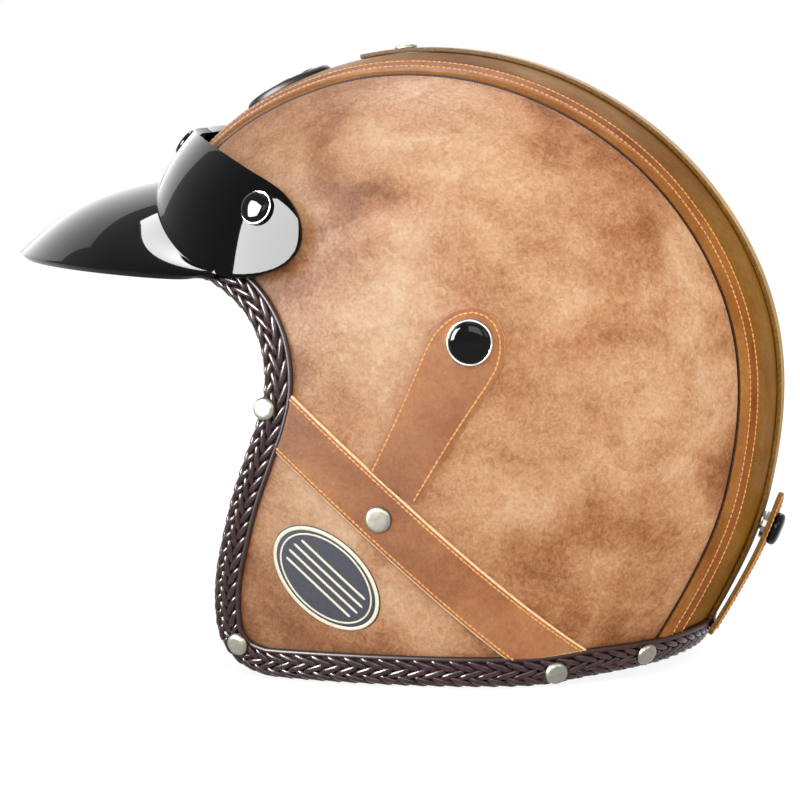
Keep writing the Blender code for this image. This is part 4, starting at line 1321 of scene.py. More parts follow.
# %% [markdown]
# Rivets and snaps
# Round pieces are a profile spun about an axis. The profile runs from the middle of the top out and
# down, and a full spin with its ends merged closes it. Each piece is spun where it stands.

# %% Rivets and snaps
SPIN_STEPS = 48
RIVET_POINTS = 7
SHOULDER_SHARE = 0.825
CAP_POINTS = 14
CAP_ROLL = 0.34
CAP_SQUARENESS = 0.66


def standing(place, up):
    """Frame at a place whose Z points up out of the surface."""
    return Matrix.Translation(place) @ up.to_track_quat("Z", "Y").to_matrix().to_4x4()


def stand_on_skin(place, lift):
    up = skin_normal(place)
    return standing(place + up * lift, up)


def turned_piece(name, profile, at, finish, slot, stands_for=(), body="helmet"):
    """A profile of (radius, height) spun once about the Z axis of a frame."""
    bm = bmesh.new()
    verts = [bm.verts.new(at @ Vector((radius, 0.0, height))) for radius, height in profile]
    edges = [bm.edges.new(pair) for pair in zip(verts, verts[1:])]
    turn = {"cent": at.translation, "axis": at.to_3x3() @ Vector((0, 0, 1)), "angle": math.tau}
    bmesh.ops.spin(bm, geom=verts + edges, steps=SPIN_STEPS, use_merge=True, **turn)
    bmesh.ops.remove_doubles(bm, verts=bm.verts, dist=WELD)
    close_out(bm)
    return add_piece(name, bm, [finish], slot, stands_for, body)


def rivet_profile(radius, height):
    """A flat-topped head with a soft shoulder and a thin skirt."""
    shoulder = height * SHOULDER_SHARE
    flat = radius - shoulder
    profile = [(0.0, height), (radius * 0.35, height * 0.995), (flat, height * 0.96)]
    for step in range(1, RIVET_POINTS + 1):
        turn = math.pi / 2 * step / RIVET_POINTS
        profile.append((flat + shoulder * math.sin(turn), height * (0.2 + 0.76 * math.cos(turn))))
    return [*profile, (radius, 0.0), (0.0, 0.0)]


def cap_profile(radius, height):
    """A low domed cap, rather flat on top, whose rim rolls under."""
    roll = height * CAP_ROLL
    profile = [(0.0, height)]
    for step in range(1, CAP_POINTS + 1):
        turn = math.pi / 2 * step / CAP_POINTS
        reach, rise = (max(part, 0.0) ** CAP_SQUARENESS for part in (math.sin(turn), math.cos(turn)))
        profile.append((radius * reach, roll + (height - roll) * rise))
    for step in range(1, 4):
        turn = math.pi / 2 * step / 4
        profile.append((radius - roll * 0.5 * (1 - math.cos(turn)), roll * (1 - math.sin(turn))))
    return [*profile, (radius - roll * 0.5, 0.0), (0.0, 0.0)]


TRIM_RIVETS = (
    ("upper", -0.6, 0.787),
    ("front", -0.742, 0.106),
    ("lower", 0.433, 0.052),
    ("back", 0.722, 0.088),
)
STRAP_RIVET = (-0.175, 0.486)
RIVET_RADIUS = 0.0047
RIVET_HEIGHT = 0.0018
TRIM_RIVET_HEIGHT = 0.0024
TRIM_RIVET_LIFT = 0.0031
STRAP_RIVET_RADIUS = 0.0054
STRAP_RIVET_HEIGHT = 0.002
CROWN_RIVET_ANGLE = math.radians(105.5)


def add_rivet(name, place, lift, radius, height, solid):
    at = stand_on_skin(place, lift)
    turned_piece("rivet_head_" + name, rivet_profile(radius, height), at, nickel, "nickel", [solid])


for side, name in SIDES:
    for part, *shares in TRIM_RIVETS:
        full_name = f"{part}_{name}"
        place = side_point(*side_place(shares), side)
        solid = "trim_rivet_" + full_name
        add_rivet(full_name, place, TRIM_RIVET_LIFT, RIVET_RADIUS, TRIM_RIVET_HEIGHT, solid)
    place = side_point(*side_place(STRAP_RIVET), side)
    solid = "strap_rivet_" + name
    add_rivet("strap_" + name, place, STRAP_PROUD, STRAP_RIVET_RADIUS, STRAP_RIVET_HEIGHT, solid)
place = skin_point(CROWN_RIVET_ANGLE, 0.0)
add_rivet("crown", place, CROWN_STRAP_PROUD, RIVET_RADIUS, RIVET_HEIGHT, "crown_rivet")
print("eleven rivets")

# %% [markdown]
# Tab snaps
# Each tab is held by a press stud. What shows of it is a black domed cap inside a thin bright ring,
# so it is two spun pieces on the same spot.

# %% Tab snaps
RING_STEPS = 8
TAB_RING = (0.0082, 0.0092, 0.0022)
TAB_DOME = (0.0083, 0.0042)


def rim_profile(inner, outer, height):
    """A ring with a rounded top, closed at its start."""
    middle, half = (inner + outer) / 2, (outer - inner) / 2
    top = height - half
    profile = [(inner, 0.0), (outer, 0.0)]
    for step in range(RING_STEPS + 1):
        turn = math.pi * step / RING_STEPS
        profile.append((middle + half * math.cos(turn), top + half * math.sin(turn)))
    return [*profile, (inner, 0.0)]


for side, name in SIDES:
    at = stand_on_skin(side_point(*TAB_SNAP, side), TAB_PROUD)
    ring, dome = rim_profile(*TAB_RING), cap_profile(*TAB_DOME)
    turned_piece("snap_rim_" + name, ring, at, bright_nickel, "nickel", ["tab_snap_rim_" + name])
    turned_piece("snap_dome_" + name, dome, at, black_enamel, "snap_black", ["tab_snap_cap_" + name])
print("one button for each tab")

# %% [markdown]
# Peak
# The peak is one gloss moulding. A flange wraps the brow and rounds off into a lobe on each side,
# and a bill springs forward from its crease. The grid's first rows are the flange and the rest the
# bill, and a wall gives it its thickness, its sharp edges rounded.

# %% Peak
PEAK_STANDOFF = 0.005
PEAK_WALL = 0.003
BILL_ACROSS = 0.6
LOBE_ACROSS = 0.757
FLANGE_TOP_SHARES = (0.813, 0.801, 0.779, 0.741)
FLANGE_LOW_SHARES = (0.866, 0.88, 0.914, 0.922)
BILL_LENGTH = 0.097
BILL_HALF_WIDTH = 0.098
BILL_ROOT = side_place((-0.894, 1.152))
BILL_TIP_RISE = 0.0045
BILL_CROWN = 0.0065
BILL_CROWN_LEAN = math.radians(30)
PEAK_COLUMNS = 120
FLANGE_ROWS = 12
BILL_ROWS = 40
BILL_COLUMN_SHARE = 0.8
BILL_CROWDING = 1.2


def spread(values, place):
    """Value at a place from 0 to 1 on a smooth curve through evenly spaced values."""
    last = len(values) - 1
    turn = min(max(place, 0.0), 1.0) * last
    first = min(int(turn), last - 1)
    before, here, after, beyond = (values[min(max(first + k, 0), last)] for k in (-1, 0, 1, 2))
    return smooth_step(before, here, after, beyond, turn - first)


def flange_point(across, share):
    """Point of the flange's outer face: share 0 at its upper edge, 1 at its crease."""
    size = abs(across)
    edges = (FLANGE_TOP_SHARES, FLANGE_LOW_SHARES)
    top, low = (math.pi * spread(shares, size / LOBE_ACROSS) for shares in edges)
    if size > BILL_ACROSS:
        rounded = min((size - BILL_ACROSS) / (LOBE_ACROSS - BILL_ACROSS), 1.0)
        half = (low - top) / 2 * math.sqrt(max(1 - rounded * rounded, 0.0))
        middle = (low + top) / 2
        top, low = middle - half, middle + half
    return skin_point(top + (low - top) * share, across, PEAK_STANDOFF + PEAK_WALL)


def bill_point(across, share):
    """Point of the bill's upper face: share 0 at the crease, 1 at its front edge."""
    crease = flange_point(across, 1.0)
    turn = across / BILL_ACROSS * math.pi / 2
    front = Vector(
        (
            BILL_HALF_WIDTH * math.sin(turn),
            HEAD_BACK + BILL_ROOT[0] - BILL_LENGTH * math.cos(turn),
            BILL_ROOT[1] + BILL_TIP_RISE * math.cos(turn),
        )
    )
    swell = BILL_CROWN * math.sin(share * math.pi) * math.cos(turn)
    rise = Vector((0.0, -math.sin(BILL_CROWN_LEAN), math.cos(BILL_CROWN_LEAN)))
    return crease.lerp(front, share) + rise * swell


def peak_across(column):
    """Place across of a column of the peak's grid."""
    side = math.copysign(1.0, column)
    past = (abs(column) - BILL_COLUMN_SHARE) / (1 - BILL_COLUMN_SHARE)
    if past > 0:
        return side * (BILL_ACROSS + (LOBE_ACROSS - BILL_ACROSS) * math.sin(past * math.pi / 2))
    return BILL_ACROSS * column / BILL_COLUMN_SHARE


def add_peak(finish):
    rows = FLANGE_ROWS + BILL_ROWS
    bm = bmesh.new()
    bmesh.ops.create_grid(bm, x_segments=PEAK_COLUMNS, y_segments=rows, size=1.0)
    spare = []
    for face in bm.faces:
        middle = face.calc_center_median()
        if (middle.y + 1) / 2 * rows > FLANGE_ROWS and abs(middle.x) > BILL_COLUMN_SHARE:
            spare.append(face)
    bmesh.ops.delete(bm, geom=spare, context="FACES")
    for vert in bm.verts:
        across = peak_across(vert.co.x)
        row = round((vert.co.y + 1) / 2 * rows)
        if row <= FLANGE_ROWS:
            vert.co = flange_point(across, row / FLANGE_ROWS)
        else:
            share = (row - FLANGE_ROWS) / BILL_ROWS
            vert.co = bill_point(across, share**BILL_CROWDING)
    bmesh.ops.remove_doubles(bm, verts=bm.verts, dist=WELD)
    bmesh.ops.recalc_face_normals(bm, faces=bm.faces)
    top = max(bm.faces, key=lambda face: face.calc_center_median().z)
    if top.normal.y > 0:
        bmesh.ops.reverse_faces(bm, faces=bm.faces)
    peak = add_piece("gloss_peak", bm, [finish], "peak_plastic", ["peak"], "peak_body")
    thicken(peak, PEAK_WALL, 0.0011, segments=3)
    return peak


peak_plastic = gloss("peak_plastic_finish", (2, 2, 2), 0.03, 0.08)
peak = add_peak(peak_plastic)
print("peak of", len(peak.data.polygons), "faces")

# %% [markdown]
# Peak snaps
# Three caps hold the peak on: one in the middle of the flange and one on each lobe. They are low
# domes with a bright rim. The studs and sockets under them are the model's own solids and only need
# their metal.

# %% Peak snaps
PEAK_SIDE_SNAP = side_place((-0.618, 1.327))
PEAK_CENTRE_SNAP_ANGLE = math.radians(150.8)
PEAK_TOP = PEAK_STANDOFF + PEAK_WALL
PEAK_CAP_RADIUS = 0.007
PEAK_CAP_HEIGHT = 0.0042
PEAK_DOME_RADIUS = 0.0064
PEAK_RING = (0.0062, PEAK_CAP_RADIUS, 0.0016)
places = {"centre": skin_point(PEAK_CENTRE_SNAP_ANGLE, 0.0)}
for side, name in SIDES:
    places[name] = side_point(*PEAK_SIDE_SNAP, side)
for part, place in places.items():
    at = stand_on_skin(place, PEAK_TOP + GAP)
    dome, ring = cap_profile(PEAK_DOME_RADIUS, PEAK_CAP_HEIGHT), rim_profile(*PEAK_RING)
    solid = f"peak_snap_{part}_cap"
    turned_piece("peak_button_" + part, dome, at, black_enamel, "snap_black", [solid], "peak_body")
    turned_piece("peak_button_rim_" + part, ring, at, bright_nickel, "nickel", body="peak_body")
print("three buttons on the peak")

# %% [markdown]
# Solids that stay
# Shell, foam, studs, sockets, anchors and buckle are already the right shape. Each gets the material
# of the real thing: dull resin, dense beaded foam, nickel, blackened steel, woven webbing.

# %% Solids that stay
def foam(name, dark, light):
    """Moulded foam, its beads showing as shallow cells."""
    finish, tree, shader, place = start_finish(name, 0.85, Specular_IOR_Level=0.2)
    paint(tree, shader, cells(tree, place, 330.0), (0.0, light), (0.7, dark), 0.0004, 0.5)
    return finish


def ribs(tree, place, direction, pitch, distortion, detail=2.0):
    """Waves that run in one direction, a pitch apart."""
    values = {"Scale": math.pi / 10 / pitch, "Distortion": distortion, "Detail": detail}
    wave = add_node(tree, "ShaderNodeTexWave", values, bands_direction=direction)
    tree.links.new(place, wave.inputs["Vector"])
    return wave.outputs["Fac"]


def woven(name, dark, light, pitch):
    """Tape: crossed waves whose threads stand proud in turn."""
    finish, tree, shader, place = start_finish(name, 0.75, Specular_IOR_Level=0.25, Sheen_Weight=0.25)
    over, along, up = (ribs(tree, place, direction, 2 * pitch, 0.4) for direction in ("X", "Y", "Z"))
    crossed = math_node(tree, "MAXIMUM", math_node(tree, "MULTIPLY", over, along), up)
    paint(tree, shader, crossed, (0.1, dark), (0.8, light), 0.00025, 0.7)
    return finish


def repaint(finish, *names):
    """Gives solids of the model a finish of their own."""
    for name in names:
        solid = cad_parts[name]
        solid.data.materials.clear()
        solid.data.materials.append(finish)
        for polygon in solid.data.polygons:
            polygon.material_index = 0


shell_resin = gloss("shell_resin_finish", (38, 38, 40), 0.5, 0.3)
liner_foam = foam("liner_foam_finish", (34, 34, 38), (62, 62, 68))
pull_tape = woven("pull_tape_finish", (120, 16, 14), (196, 44, 36), 0.0009)
repaint(shell_resin, "outer_shell")
repaint(liner_foam, "foam_liner")
repaint(nickel, "chin_anchor_left", "chin_anchor_right", "buckle_tongue")
repaint(dark_metal, "buckle_housing", "buckle_lever")
repaint(pull_tape, "lever_pull")
studs = [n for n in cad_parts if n.endswith(("_stud", "_socket"))]
repaint(nickel, *studs)
print("solids repainted:", len(studs) + 8)

# %% [markdown]
# Patch on the cheek
# An oval cloth patch is sewn to the left cheek. Its field is dark navy twill, with two raised cream
# borders round four plain stripes. The patch is a round grid laid on the skin, and the borders and
# stripes are cords of thread laid on it.

# %% Patch on the cheek
BADGE_CENTRE = side_place((-0.387, 0.31))
BADGE_LENGTH = 0.052
BADGE_HEIGHT = 0.033
BADGE_PROUD = 0.0014
BADGE_ROUND = 96
BADGE_RINGS = 24
BADGE_LIFT = BADGE_PROUD * 0.72
BADGE_BORDERS = ((0.95, 0.0016), (0.84, 0.0008))
BORDER_TALL = 0.0011
BADGE_STRIPES = (-0.3, -0.1, 0.1, 0.3)
STRIPE_SIZE = (0.0011, 0.001)
STRIPE_REACH = 0.74
STRIPE_OVAL = 0.8
STRIPE_STEPS = 20
CORD_SIDES = 10


def badge_place(long, wide, lift):
    """Point of the patch, long and wide as shares of its half length and half height."""
    flat = moved(BADGE_CENTRE, STRAP_WAY, long * BADGE_LENGTH / 2, STRAP_SQUARE, wide * BADGE_HEIGHT / 2)
    return side_point(*flat, 1, lift)


def tube_grid(points, wide, tall, up_at, closed=False):
    """A round cord along a line of points, wider than tall if asked, with closed ends."""
    count = len(points) if closed else len(points) - 1
    frames = []
    for index, point in enumerate(points):
        ahead = points[(index + 1) % len(points)] if closed else points[min(index + 1, count)]
        behind = points[index - 1] if closed or index else point
        up = up_at(point)
        over = (ahead - behind).cross(up).normalized()
        full = 1.0 if closed else math.sqrt(max(1 - (1 - min(index, count - index, 2) / 2) ** 2, 0.0))
        frames.append((point, over * wide / 2 * full, up * tall / 2 * full))

    def place(along, round_it):
        point, over, up = frames[round(along * count) % len(frames)]
        angle = math.tau * round_it
        return point + over * math.cos(angle) + up * math.sin(angle)

    bm = laid_grid(count, CORD_SIDES, place)
    close_out(bm)
    return bm


def join_meshes(parts):
    """Several bmeshes as one."""
    whole = bmesh.new()
    for part in parts:
        mesh = bpy.data.meshes.new("part")
        part.to_mesh(mesh)
        part.free()
        whole.from_mesh(mesh)
        bpy.data.meshes.remove(mesh)
    return whole


def add_badge():
    def field(along, out):
        angle = math.tau * along
        edge = min((1 - out) * 10, 1.0)
        lift = GAP / 2 + BADGE_LIFT * math.sqrt(1 - (1 - edge) ** 2)
        return badge_place(out * math.cos(angle), out * math.sin(angle), lift)

    bm = laid_grid(BADGE_ROUND, BADGE_RINGS, field)
    face_out(bm)
    add_piece("patch_field", bm, [patch_cloth], "badge_cloth", ["side_badge"])
    turns = [math.tau * step / BADGE_ROUND for step in range(BADGE_ROUND)]
    cords = []
    for share, wide in BADGE_BORDERS:
        ring = [badge_place(share * math.cos(turn), share * math.sin(turn), BADGE_LIFT) for turn in turns]
        cords.append(tube_grid(ring, wide, BORDER_TALL, skin_normal, closed=True))
    steps = [step / STRIPE_STEPS - 1 for step in range(2 * STRIPE_STEPS + 1)]
    for wide in BADGE_STRIPES:
        reach = STRIPE_REACH * math.sqrt(1 - (wide / STRIPE_OVAL) ** 2)
        row = [badge_place(reach * step, wide, BADGE_LIFT) for step in steps]
        cords.append(tube_grid(row, *STRIPE_SIZE, skin_normal))
    add_piece("patch_threads", join_meshes(cords), [cream_thread], "badge_cloth")


patch_cloth = fibre("patch_cloth_finish", (24, 26, 38), (44, 48, 66), 0.7, 1400.0)
cream_thread = fibre("cream_thread_finish", (214, 206, 182), (240, 234, 214), 0.6, 1600.0)
add_badge()
print("patch", round(1000 * BADGE_LENGTH), "by", round(1000 * BADGE_HEIGHT), "mm")

# %% [markdown]
# Ornament above the brow
# A dark metal plate sits on the band above the peak. It is an oval with a raised rim and three plain
# round bosses in a row, so from the side it shows as low dark shapes that stand proud of the band.

# %% Ornament above the brow
PLAQUE_ANGLE = math.radians(130.5)
PLAQUE_LENGTH = 0.04
PLAQUE_WIDTH = 0.026
PLAQUE_PROUD = 0.0036
PLAQUE_BOSSES = ((-0.52, 0.0034), (0.0, 0.0046), (0.52, 0.0034))
PLAQUE_COLUMNS = 120
PLAQUE_ROWS = 60


def plaque_place(over, long, lift):
    """Point of the plate, over and long in metres from its middle, long towards the crown."""
    middle = skin_point(PLAQUE_ANGLE, 0.0)
    along = (skin_point(PLAQUE_ANGLE - NORMAL_STEP, 0.0) - middle).normalized()
    return on_skin(middle + along * long + Vector((over, 0.0, 0.0)), lift)


def plaque_lift(out, over, long):
    """Height of the plate: a rolled rim, a low field and the bosses."""
    rim = math.exp(-(((out - 0.9) / 0.055) ** 2))
    foot = min((1 - out) * 14, 1.0)
    height = 0.42 * math.sqrt(1 - (1 - foot) ** 2) + 0.3 * rim
    for share, radius in PLAQUE_BOSSES:
        away = math.hypot(over, long - share * PLAQUE_LENGTH / 2) / radius
        if away < 1:
            height = max(height, 0.42 + 0.58 * math.sqrt(1 - away**4))
    return GAP / 2 + (PLAQUE_PROUD - GAP) * height


def plaque_field(along, out):
    angle = math.tau * along
    over = out * PLAQUE_WIDTH / 2 * math.cos(angle)
    long = out * PLAQUE_LENGTH / 2 * math.sin(angle)
    return plaque_place(over, long, plaque_lift(out, over, long))


bm = laid_grid(PLAQUE_COLUMNS, PLAQUE_ROWS, plaque_field)
face_out(bm)
plaque = add_piece("brow_ornament", bm, [dark_metal], "dark_metal", ["brow_plaque"])
print("ornament of", len(plaque.data.polygons), "faces")

# %% [markdown]
# Goggle retainer
# At the nape a short leather strap folds up from the trim and snaps to the crown strap, to hold the
# band of a pair of goggles. It is a sheet along a curve that leaves the helmet slowly, with a round
# end, and it rides on a body of its own.

# %% Goggle retainer
RETAINER_WIDTH = 0.019
RETAINER_THICKNESS = 0.0018
RETAINER_FOOT = -0.91741
RETAINER_TURN = math.radians(23.4)
RETAINER_FOOT_LIFT = 0.0038
RETAINER_TIP_LIFT = 0.0063
RETAINER_CURL = 1.5
RETAINER_SNAP_SHARE = 0.76
RETAINER_ROUND = 0.16
RETAINER_COLUMNS = 60
RETAINER_ROWS = 14
RETAINER_CROWDING = 1.5
RETAINER_REACH = 0.02
RETAINER_STEPS = 50
STITCHED_SHARE = 0.97


def retainer_frame(share):
    """Point of the retainer's inner face, and the direction out of it."""

    def point(at):
        angle = RETAINER_FOOT + RETAINER_TURN * at
        rise = (RETAINER_TIP_LIFT - RETAINER_FOOT_LIFT) * max(at, 0.0) ** RETAINER_CURL
        return skin_point(angle, 0.0, RETAINER_FOOT_LIFT + rise)

    along = point(share + RETAINER_REACH) - point(share - RETAINER_REACH)
    return point(share), Vector((0.0, along.z, -along.y)).normalized()


def retainer_half(share):
    """Half width of the retainer, which ends in a round tip."""
    past = max(share - (1 - RETAINER_ROUND), 0.0) / RETAINER_ROUND
    return RETAINER_WIDTH / 2 * math.sqrt(max(1 - past**2.4, 0.0))


def retainer_place(along, over):
    share = 1 - (1 - along) ** RETAINER_CROWDING
    point, out = retainer_frame(share)
    return point + out * RETAINER_THICKNESS + Vector(((over * 2 - 1) * retainer_half(share), 0.0, 0.0))


bm = laid_grid(RETAINER_COLUMNS, RETAINER_ROWS, retainer_place)
face_out(bm)
# The rim is painted dark, as painted shade along the strap's sides.
finishes = [strap_leather, painted_shade_edge]
retainer = add_piece("retainer_skin", bm, finishes, "olive_leather", ["goggle_retainer"], "retainer_body")
thicken(retainer, RETAINER_THICKNESS, SOFT_EDGE, rim_finish=1)
shares = [step / RETAINER_STEPS * STITCHED_SHARE for step in range(RETAINER_STEPS + 1)]
halves = [(share, retainer_half(share) - STITCH_INSET) for share in shares]
outline = [(share, half) for share, half in halves if half > 0]
row = []
for share, over in outline + [(share, -half) for share, half in outline[::-1]]:
    point, out = retainer_frame(share)
    row.append(point + out * RETAINER_THICKNESS + Vector((over, 0.0, 0.0)))
add_stitches("retainer_stitches", [row], orange_thread, "pale_leather", STITCH, "retainer_body")
point, out = retainer_frame(RETAINER_SNAP_SHARE)
at = standing(point + out * (RETAINER_THICKNESS + GAP), out)
dome, solids = cap_profile(PEAK_CAP_RADIUS, PEAK_CAP_HEIGHT), ["retainer_snap_cap"]
turned_piece("retainer_button", dome, at, black_enamel, "snap_black", solids, "retainer_body")
print("retainer from", tuple(round(v, 3) for v in retainer_frame(0.0)[0]))

# %% [markdown]
# Chin strap
# Black webbing hangs in a loop between the anchors inside the ears, and meets at the buckle. It is
# flat woven strap, so it is a sheet along the loop with a little thickness, and its weave follows a
# map that the grid carries.

# %% Chin strap
CHIN_PIVOT = side_place((-0.175, 0.486))
WEBBING_WIDTH = 0.022
WEBBING_THICKNESS = 0.0018
WEBBING_LOW = 0.011
WEBBING_REACH = 0.0782
LOOP_SHARES = ((0.42, 0.02), (0.6, 0.1), (0.77, 0.26), (0.9, 0.5), (0.97, 0.76), (1.0, 1.13))
BUCKLE_HALF = 0.0203
WEBBING_ROWS = 8
WEBBING_EDGE = 0.0005
STRAP_FACE = 0.001
SEWN_WIDTH = 0.015
CHIN_STITCH = (0.0026, 0.0022, 0.0007)
black_thread = fibre("black_thread_finish", (20, 20, 22), (48, 48, 52), 0.6)


def ribbon(name, dark, light, pitch):
    """Woven strap: ribs across it and threads along it, from the map of the sheet."""
    finish, tree, shader, _ = start_finish(name, 0.7, Specular_IOR_Level=0.3, Sheen_Weight=0.3)
    place = add_node(tree, "ShaderNodeUVMap", uv_map="cloth").outputs["UV"]
    across, along = ribs(tree, place, "X", pitch, 0.3, 1.0), ribs(tree, place, "Y", pitch / 1.6, 0.3, 1.0)
    weave = math_node(tree, "MULTIPLY", across, math_node(tree, "ADD", along, 0.4), clamp=True)
    paint(tree, shader, weave, (0.05, dark), (0.9, light), 0.0003, 0.8)
    return finish


def strap_line(side):
    corners = [(BUCKLE_HALF, WEBBING_LOW)]
    for wide, high in LOOP_SHARES:
        corners.append((WEBBING_REACH * wide, WEBBING_LOW + (CHIN_PIVOT[1] - WEBBING_LOW) * high))
    middle = HEAD_BACK + CHIN_PIVOT[0]
    return [Vector((side * wide, middle, high)) for wide, high in smooth_line(corners, 12)]


def add_chin_strap(side, name):
    line = strap_line(side)
    length = measured(line)[-1]

    def place(along, over):
        edge = (over - 0.5) * WEBBING_WIDTH
        return line[round(along * (len(line) - 1))] + Vector((0.0, edge, 0.0))

    bm = laid_grid(len(line) - 1, WEBBING_ROWS, place, (length, WEBBING_WIDTH))
    bmesh.ops.recalc_face_normals(bm, faces=bm.faces)
    shown = ([webbing_ribbon], "webbing", ["chin_strap_" + name], "chin_strap_body")
    webbing_piece = add_piece("chin_webbing_" + name, bm, *shown)
    thicken(webbing_piece, WEBBING_THICKNESS, WEBBING_EDGE)
    webbing_piece.modifiers["wall"].offset = 0.0
    inner = [point + Vector((-side * STRAP_FACE, 0.0, 0.0)) for point in line[-15:-2]]
    overs = [(step / 6 - 0.5) * SEWN_WIDTH for step in range(7)]
    rows = [[point + Vector((0.0, over, 0.0)) for point in inner] for over in (overs[0], overs[-1])]
    for end in (0, -1):
        rows.append([inner[end] + Vector((0.0, over, 0.0)) for over in overs])
    inwards = Vector((-side, 0.0, 0.0))
    sewn = (rows, black_thread, "webbing", CHIN_STITCH, "chin_strap_body", lambda point: inwards)
    add_stitches("chin_stitches_" + name, *sewn)
    return length


webbing_ribbon = ribbon("webbing_ribbon_finish", (12, 12, 13), (52, 52, 56), 0.0012)
for side, name in SIDES:
    length = add_chin_strap(side, name)
print("chin strap half of", round(length, 3), "m")

# %% [markdown]
# Quilted crown lining
# Inside the foam a quilted cloth cup takes the wearer's crown. It is one layer, so it is laid like
# the panels, on rays round the ear, but at its own depth. Diamonds of padding stand off a thinner
# base over the crown, the sides are plain, and the cup thins to nothing at its bound edge.

# %% Quilted crown lining
LINING_DEPTH = 0.0238
LINING_BASE = 0.0024
LINING_PUFF = 0.0038
LINING_FLOOR = 0.0969
LINING_INSET = 0.008
QUILT_PITCH = 0.026
QUILT_ACROSS = 0.56
QUILT_SEAM = 0.035
SIDE_PUFF = 0.6
LINING_COLUMNS = 170
LINING_ROWS = 64
EDGE_ROLL = 0.006


def layer_across(angle, reach, depth):
    """Place across of a layer's point at a distance from the head's centre in the side view."""
    share = min(reach / (rim_radius(angle) - depth), 1.0)
    return math.acos(share ** (ROUNDNESS / 2)) * 2 / math.pi


def quilt(angle, across):
    """Height of the padding: diamonds over the crown, then a seam, then plain padding at the sides."""
    away = min(abs(across - QUILT_ACROSS) / QUILT_SEAM, 1.0)
    beside = math.sqrt(1 - (1 - away) ** 2)
    if across > QUILT_ACROSS:
        return SIDE_PUFF * beside
    round_it = math.remainder(angle - CROWN, math.tau) * CROWN_RADIUS
    half = across * HALF_WIDTH * math.pi / 2
    waves = [abs(math.sin(math.pi * (round_it + sign * half) / QUILT_PITCH)) for sign in (-1, 1)]
    return math.sqrt(waves[0] * waves[1]) * beside


def add_lining():
    floor = [(-1.0, LINING_FLOOR), (1.0, LINING_FLOOR)]
    lines = (layer_line(depth=LINING_DEPTH), floor, edge_line(LINING_INSET))
    rays = rays_from((0.0, HEAD_HEIGHT), lines, LINING_COLUMNS)

    def place(along, out):
        angle, reach, line = rays[round(along * LINING_COLUMNS)]
        border = layer_across(angle, reach, LINING_DEPTH) if line else 0.0
        across = 1 - (1 - border) * out
        flat = skin_point(angle, across, -LINING_DEPTH)
        edge = 1.0
        if line:
            away = (flat - skin_point(angle, border, -LINING_DEPTH)).length
            edge = math.sqrt(1 - (1 - min(away / EDGE_ROLL, 1.0)) ** 2)
        deeper = LINING_DEPTH + 2 * GAP + (LINING_BASE + LINING_PUFF * quilt(angle, across)) * edge
        return skin_point(angle, across, -deeper)

    bm = laid_grid(LINING_COLUMNS, LINING_ROWS, place)
    half = bm.verts[:] + bm.edges[:] + bm.faces[:]
    bmesh.ops.mirror(bm, geom=half, matrix=Matrix(), merge_dist=WELD, axis="X")
    face_out(bm)
    lining = add_piece("crown_lining", bm, [lining_cloth], "lining_fabric", ["comfort_lining"])
    wall = lining.modifiers.new("wall", "SOLIDIFY")
    wall.thickness = 2 * GAP
    wall.offset = 1.0
    return lining


def cloth(name, dark, light, pitch):
    """Brushed knit: small even stitches under a soft bloom."""
    finish, tree, shader, place = start_finish(name, 0.85, Specular_IOR_Level=0.2, Sheen_Weight=0.4)
    knit = cells(tree, place, 1 / pitch, 0.25)
    bloom = spots(tree, place, 45.0, 4.0, 0.6)
    tone = math_node(tree, "ADD", math_node(tree, "MULTIPLY", knit, 0.35), bloom)
    paint(tree, shader, tone, (0.4, dark), (0.95, light), 0.0002, 0.6, knit)
    return finish


lining_cloth = cloth("lining_cloth_finish", (58, 40, 30), (92, 68, 52), 0.0013)
piping_cloth = cloth("piping_cloth_finish", (40, 26, 20), (66, 46, 36), 0.0009)
lining = add_lining()
print("lining of", len(lining.data.polygons), "faces")

# %% [markdown]
# Cheek and neck pads
# Foam pads in the same cloth hold the cheeks and the nape. A pad is a full form whose sides pull in
# between its corners, which cloth under pressure does by itself. So each starts from its own solid,
# a little smaller, is given even faces, swells for twenty frames, and keeps to the room it has.

# %% Cheek and neck pads
PAD_VOXEL = 0.003
PAD_START = 0.001
PAD_CALM = 10
PAD_PRESSURE = 4.0
PAD_FRAMES = 20
PAD_CAP = 0.0045
PAD_ROOM = 0.0008


def baked(piece):
    """The piece's mesh with its modifiers applied, in place of its own."""
    depsgraph = bpy.context.evaluated_depsgraph_get()
    mesh = bpy.data.meshes.new_from_object(piece.evaluated_get(depsgraph))
    old = piece.data
    piece.modifiers.clear()
    piece.data = mesh
    bpy.data.meshes.remove(old)


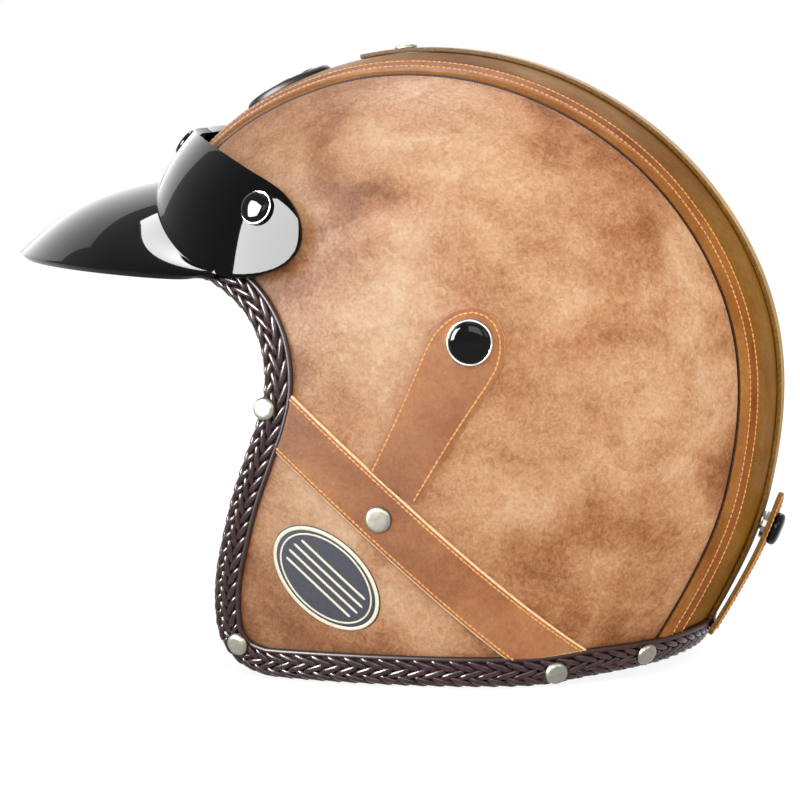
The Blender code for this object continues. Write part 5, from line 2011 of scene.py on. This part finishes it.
def add_pad(name, node):
    bm = bmesh.new()
    bm.from_mesh(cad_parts[node].data)
    bmesh.ops.remove_doubles(bm, verts=bm.verts, dist=WELD)
    close_out(bm)
    for vert in bm.verts:
        vert.co -= vert.normal * PAD_START
    pad = add_piece(name, bm, [], "lining_fabric", [node])
    even = pad.modifiers.new("even_faces", "REMESH")
    even.mode = "VOXEL"
    even.voxel_size = PAD_VOXEL
    calm = pad.modifiers.new("calm", "SMOOTH")
    calm.iterations = PAD_CALM
    baked(pad)
    start = [vert.co.copy() for vert in pad.data.vertices]
    swell = pad.modifiers.new("swell", "CLOTH")
    swell.settings.use_pressure = True
    swell.settings.uniform_pressure_force = PAD_PRESSURE
    swell.settings.effector_weights.gravity = 0.0
    for step in range(1, PAD_FRAMES + 1):
        scene.frame_set(step)
    baked(pad)
    scene.frame_set(1)
    low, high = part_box(node)
    for vert, before in zip(pad.data.vertices, start):
        shift = vert.co - before
        if shift.length > PAD_CAP:
            shift *= PAD_CAP / shift.length
        point = before + shift
        for axis in (0, 1, 2):
            point[axis] = min(max(point[axis], low[axis] - PAD_ROOM), high[axis] + PAD_ROOM / 4)
        beyond = skin_fill(point, LINING_DEPTH + GAP)
        vert.co = HEAD + (point - HEAD) / beyond if beyond > 1 else point
    pad.data.materials.append(lining_cloth)
    pad.data.shade_smooth()
    soft = pad.modifiers.new("smooth", "SUBSURF")
    soft.levels = soft.render_levels = 1
    return pad


for side, name in SIDES:
    add_pad("cheek_cushion_" + name, "cheek_pad_" + name)
neck = add_pad("neck_cushion", "neck_pad")
print("neck pad of", len(neck.data.polygons), "faces")

# %% [markdown]
# Skirt over the foam's edge
# The foam's cut edge would show between the trim and the pads. A cloth skirt covers it: a sheet that
# runs from the trim's lip round the foam's corner to behind the pads, lofted between loops of the
# edge at different depths.

# %% Skirt over the foam's edge
SKIRT_ROWS = (
    (0.0042, 0.0078),
    (0.0036, 0.009),
    (0.0031, 0.012),
    (0.003, 0.016),
    (0.0031, 0.02),
    (0.0035, 0.0228),
    (0.0043, 0.0242),
    (0.006, 0.0244),
    (0.0078, 0.0242),
)
SKIRT_POINTS = 480
SKIRT_THICKNESS = 0.0006


def deep_loop(inset, depth):
    """The edge, moved inwards, where it meets a layer at one depth, in evenly spaced points."""

    def layer_place(back, height, angle, reach):
        return skin_point(angle, layer_across(angle, reach, depth), -depth)

    loop = edge_loop(inset, depth, layer_place)
    length = measured(loop + loop[:1])[-1]
    return resampled(loop, length / SKIRT_POINTS, closed=True)


loops = [deep_loop(*row) for row in SKIRT_ROWS]


def skirt_place(along, over):
    loop = loops[round(over * (len(loops) - 1))]
    return loop[round(along * SKIRT_POINTS) % len(loop)]


bm = laid_grid(SKIRT_POINTS, len(loops) - 1, skirt_place)
face_out(bm)
skirt = add_piece("foam_skirt", bm, [piping_cloth], "lining_fabric")
thicken(skirt, SKIRT_THICKNESS)
print("skirt of", len(skirt.data.polygons), "faces")
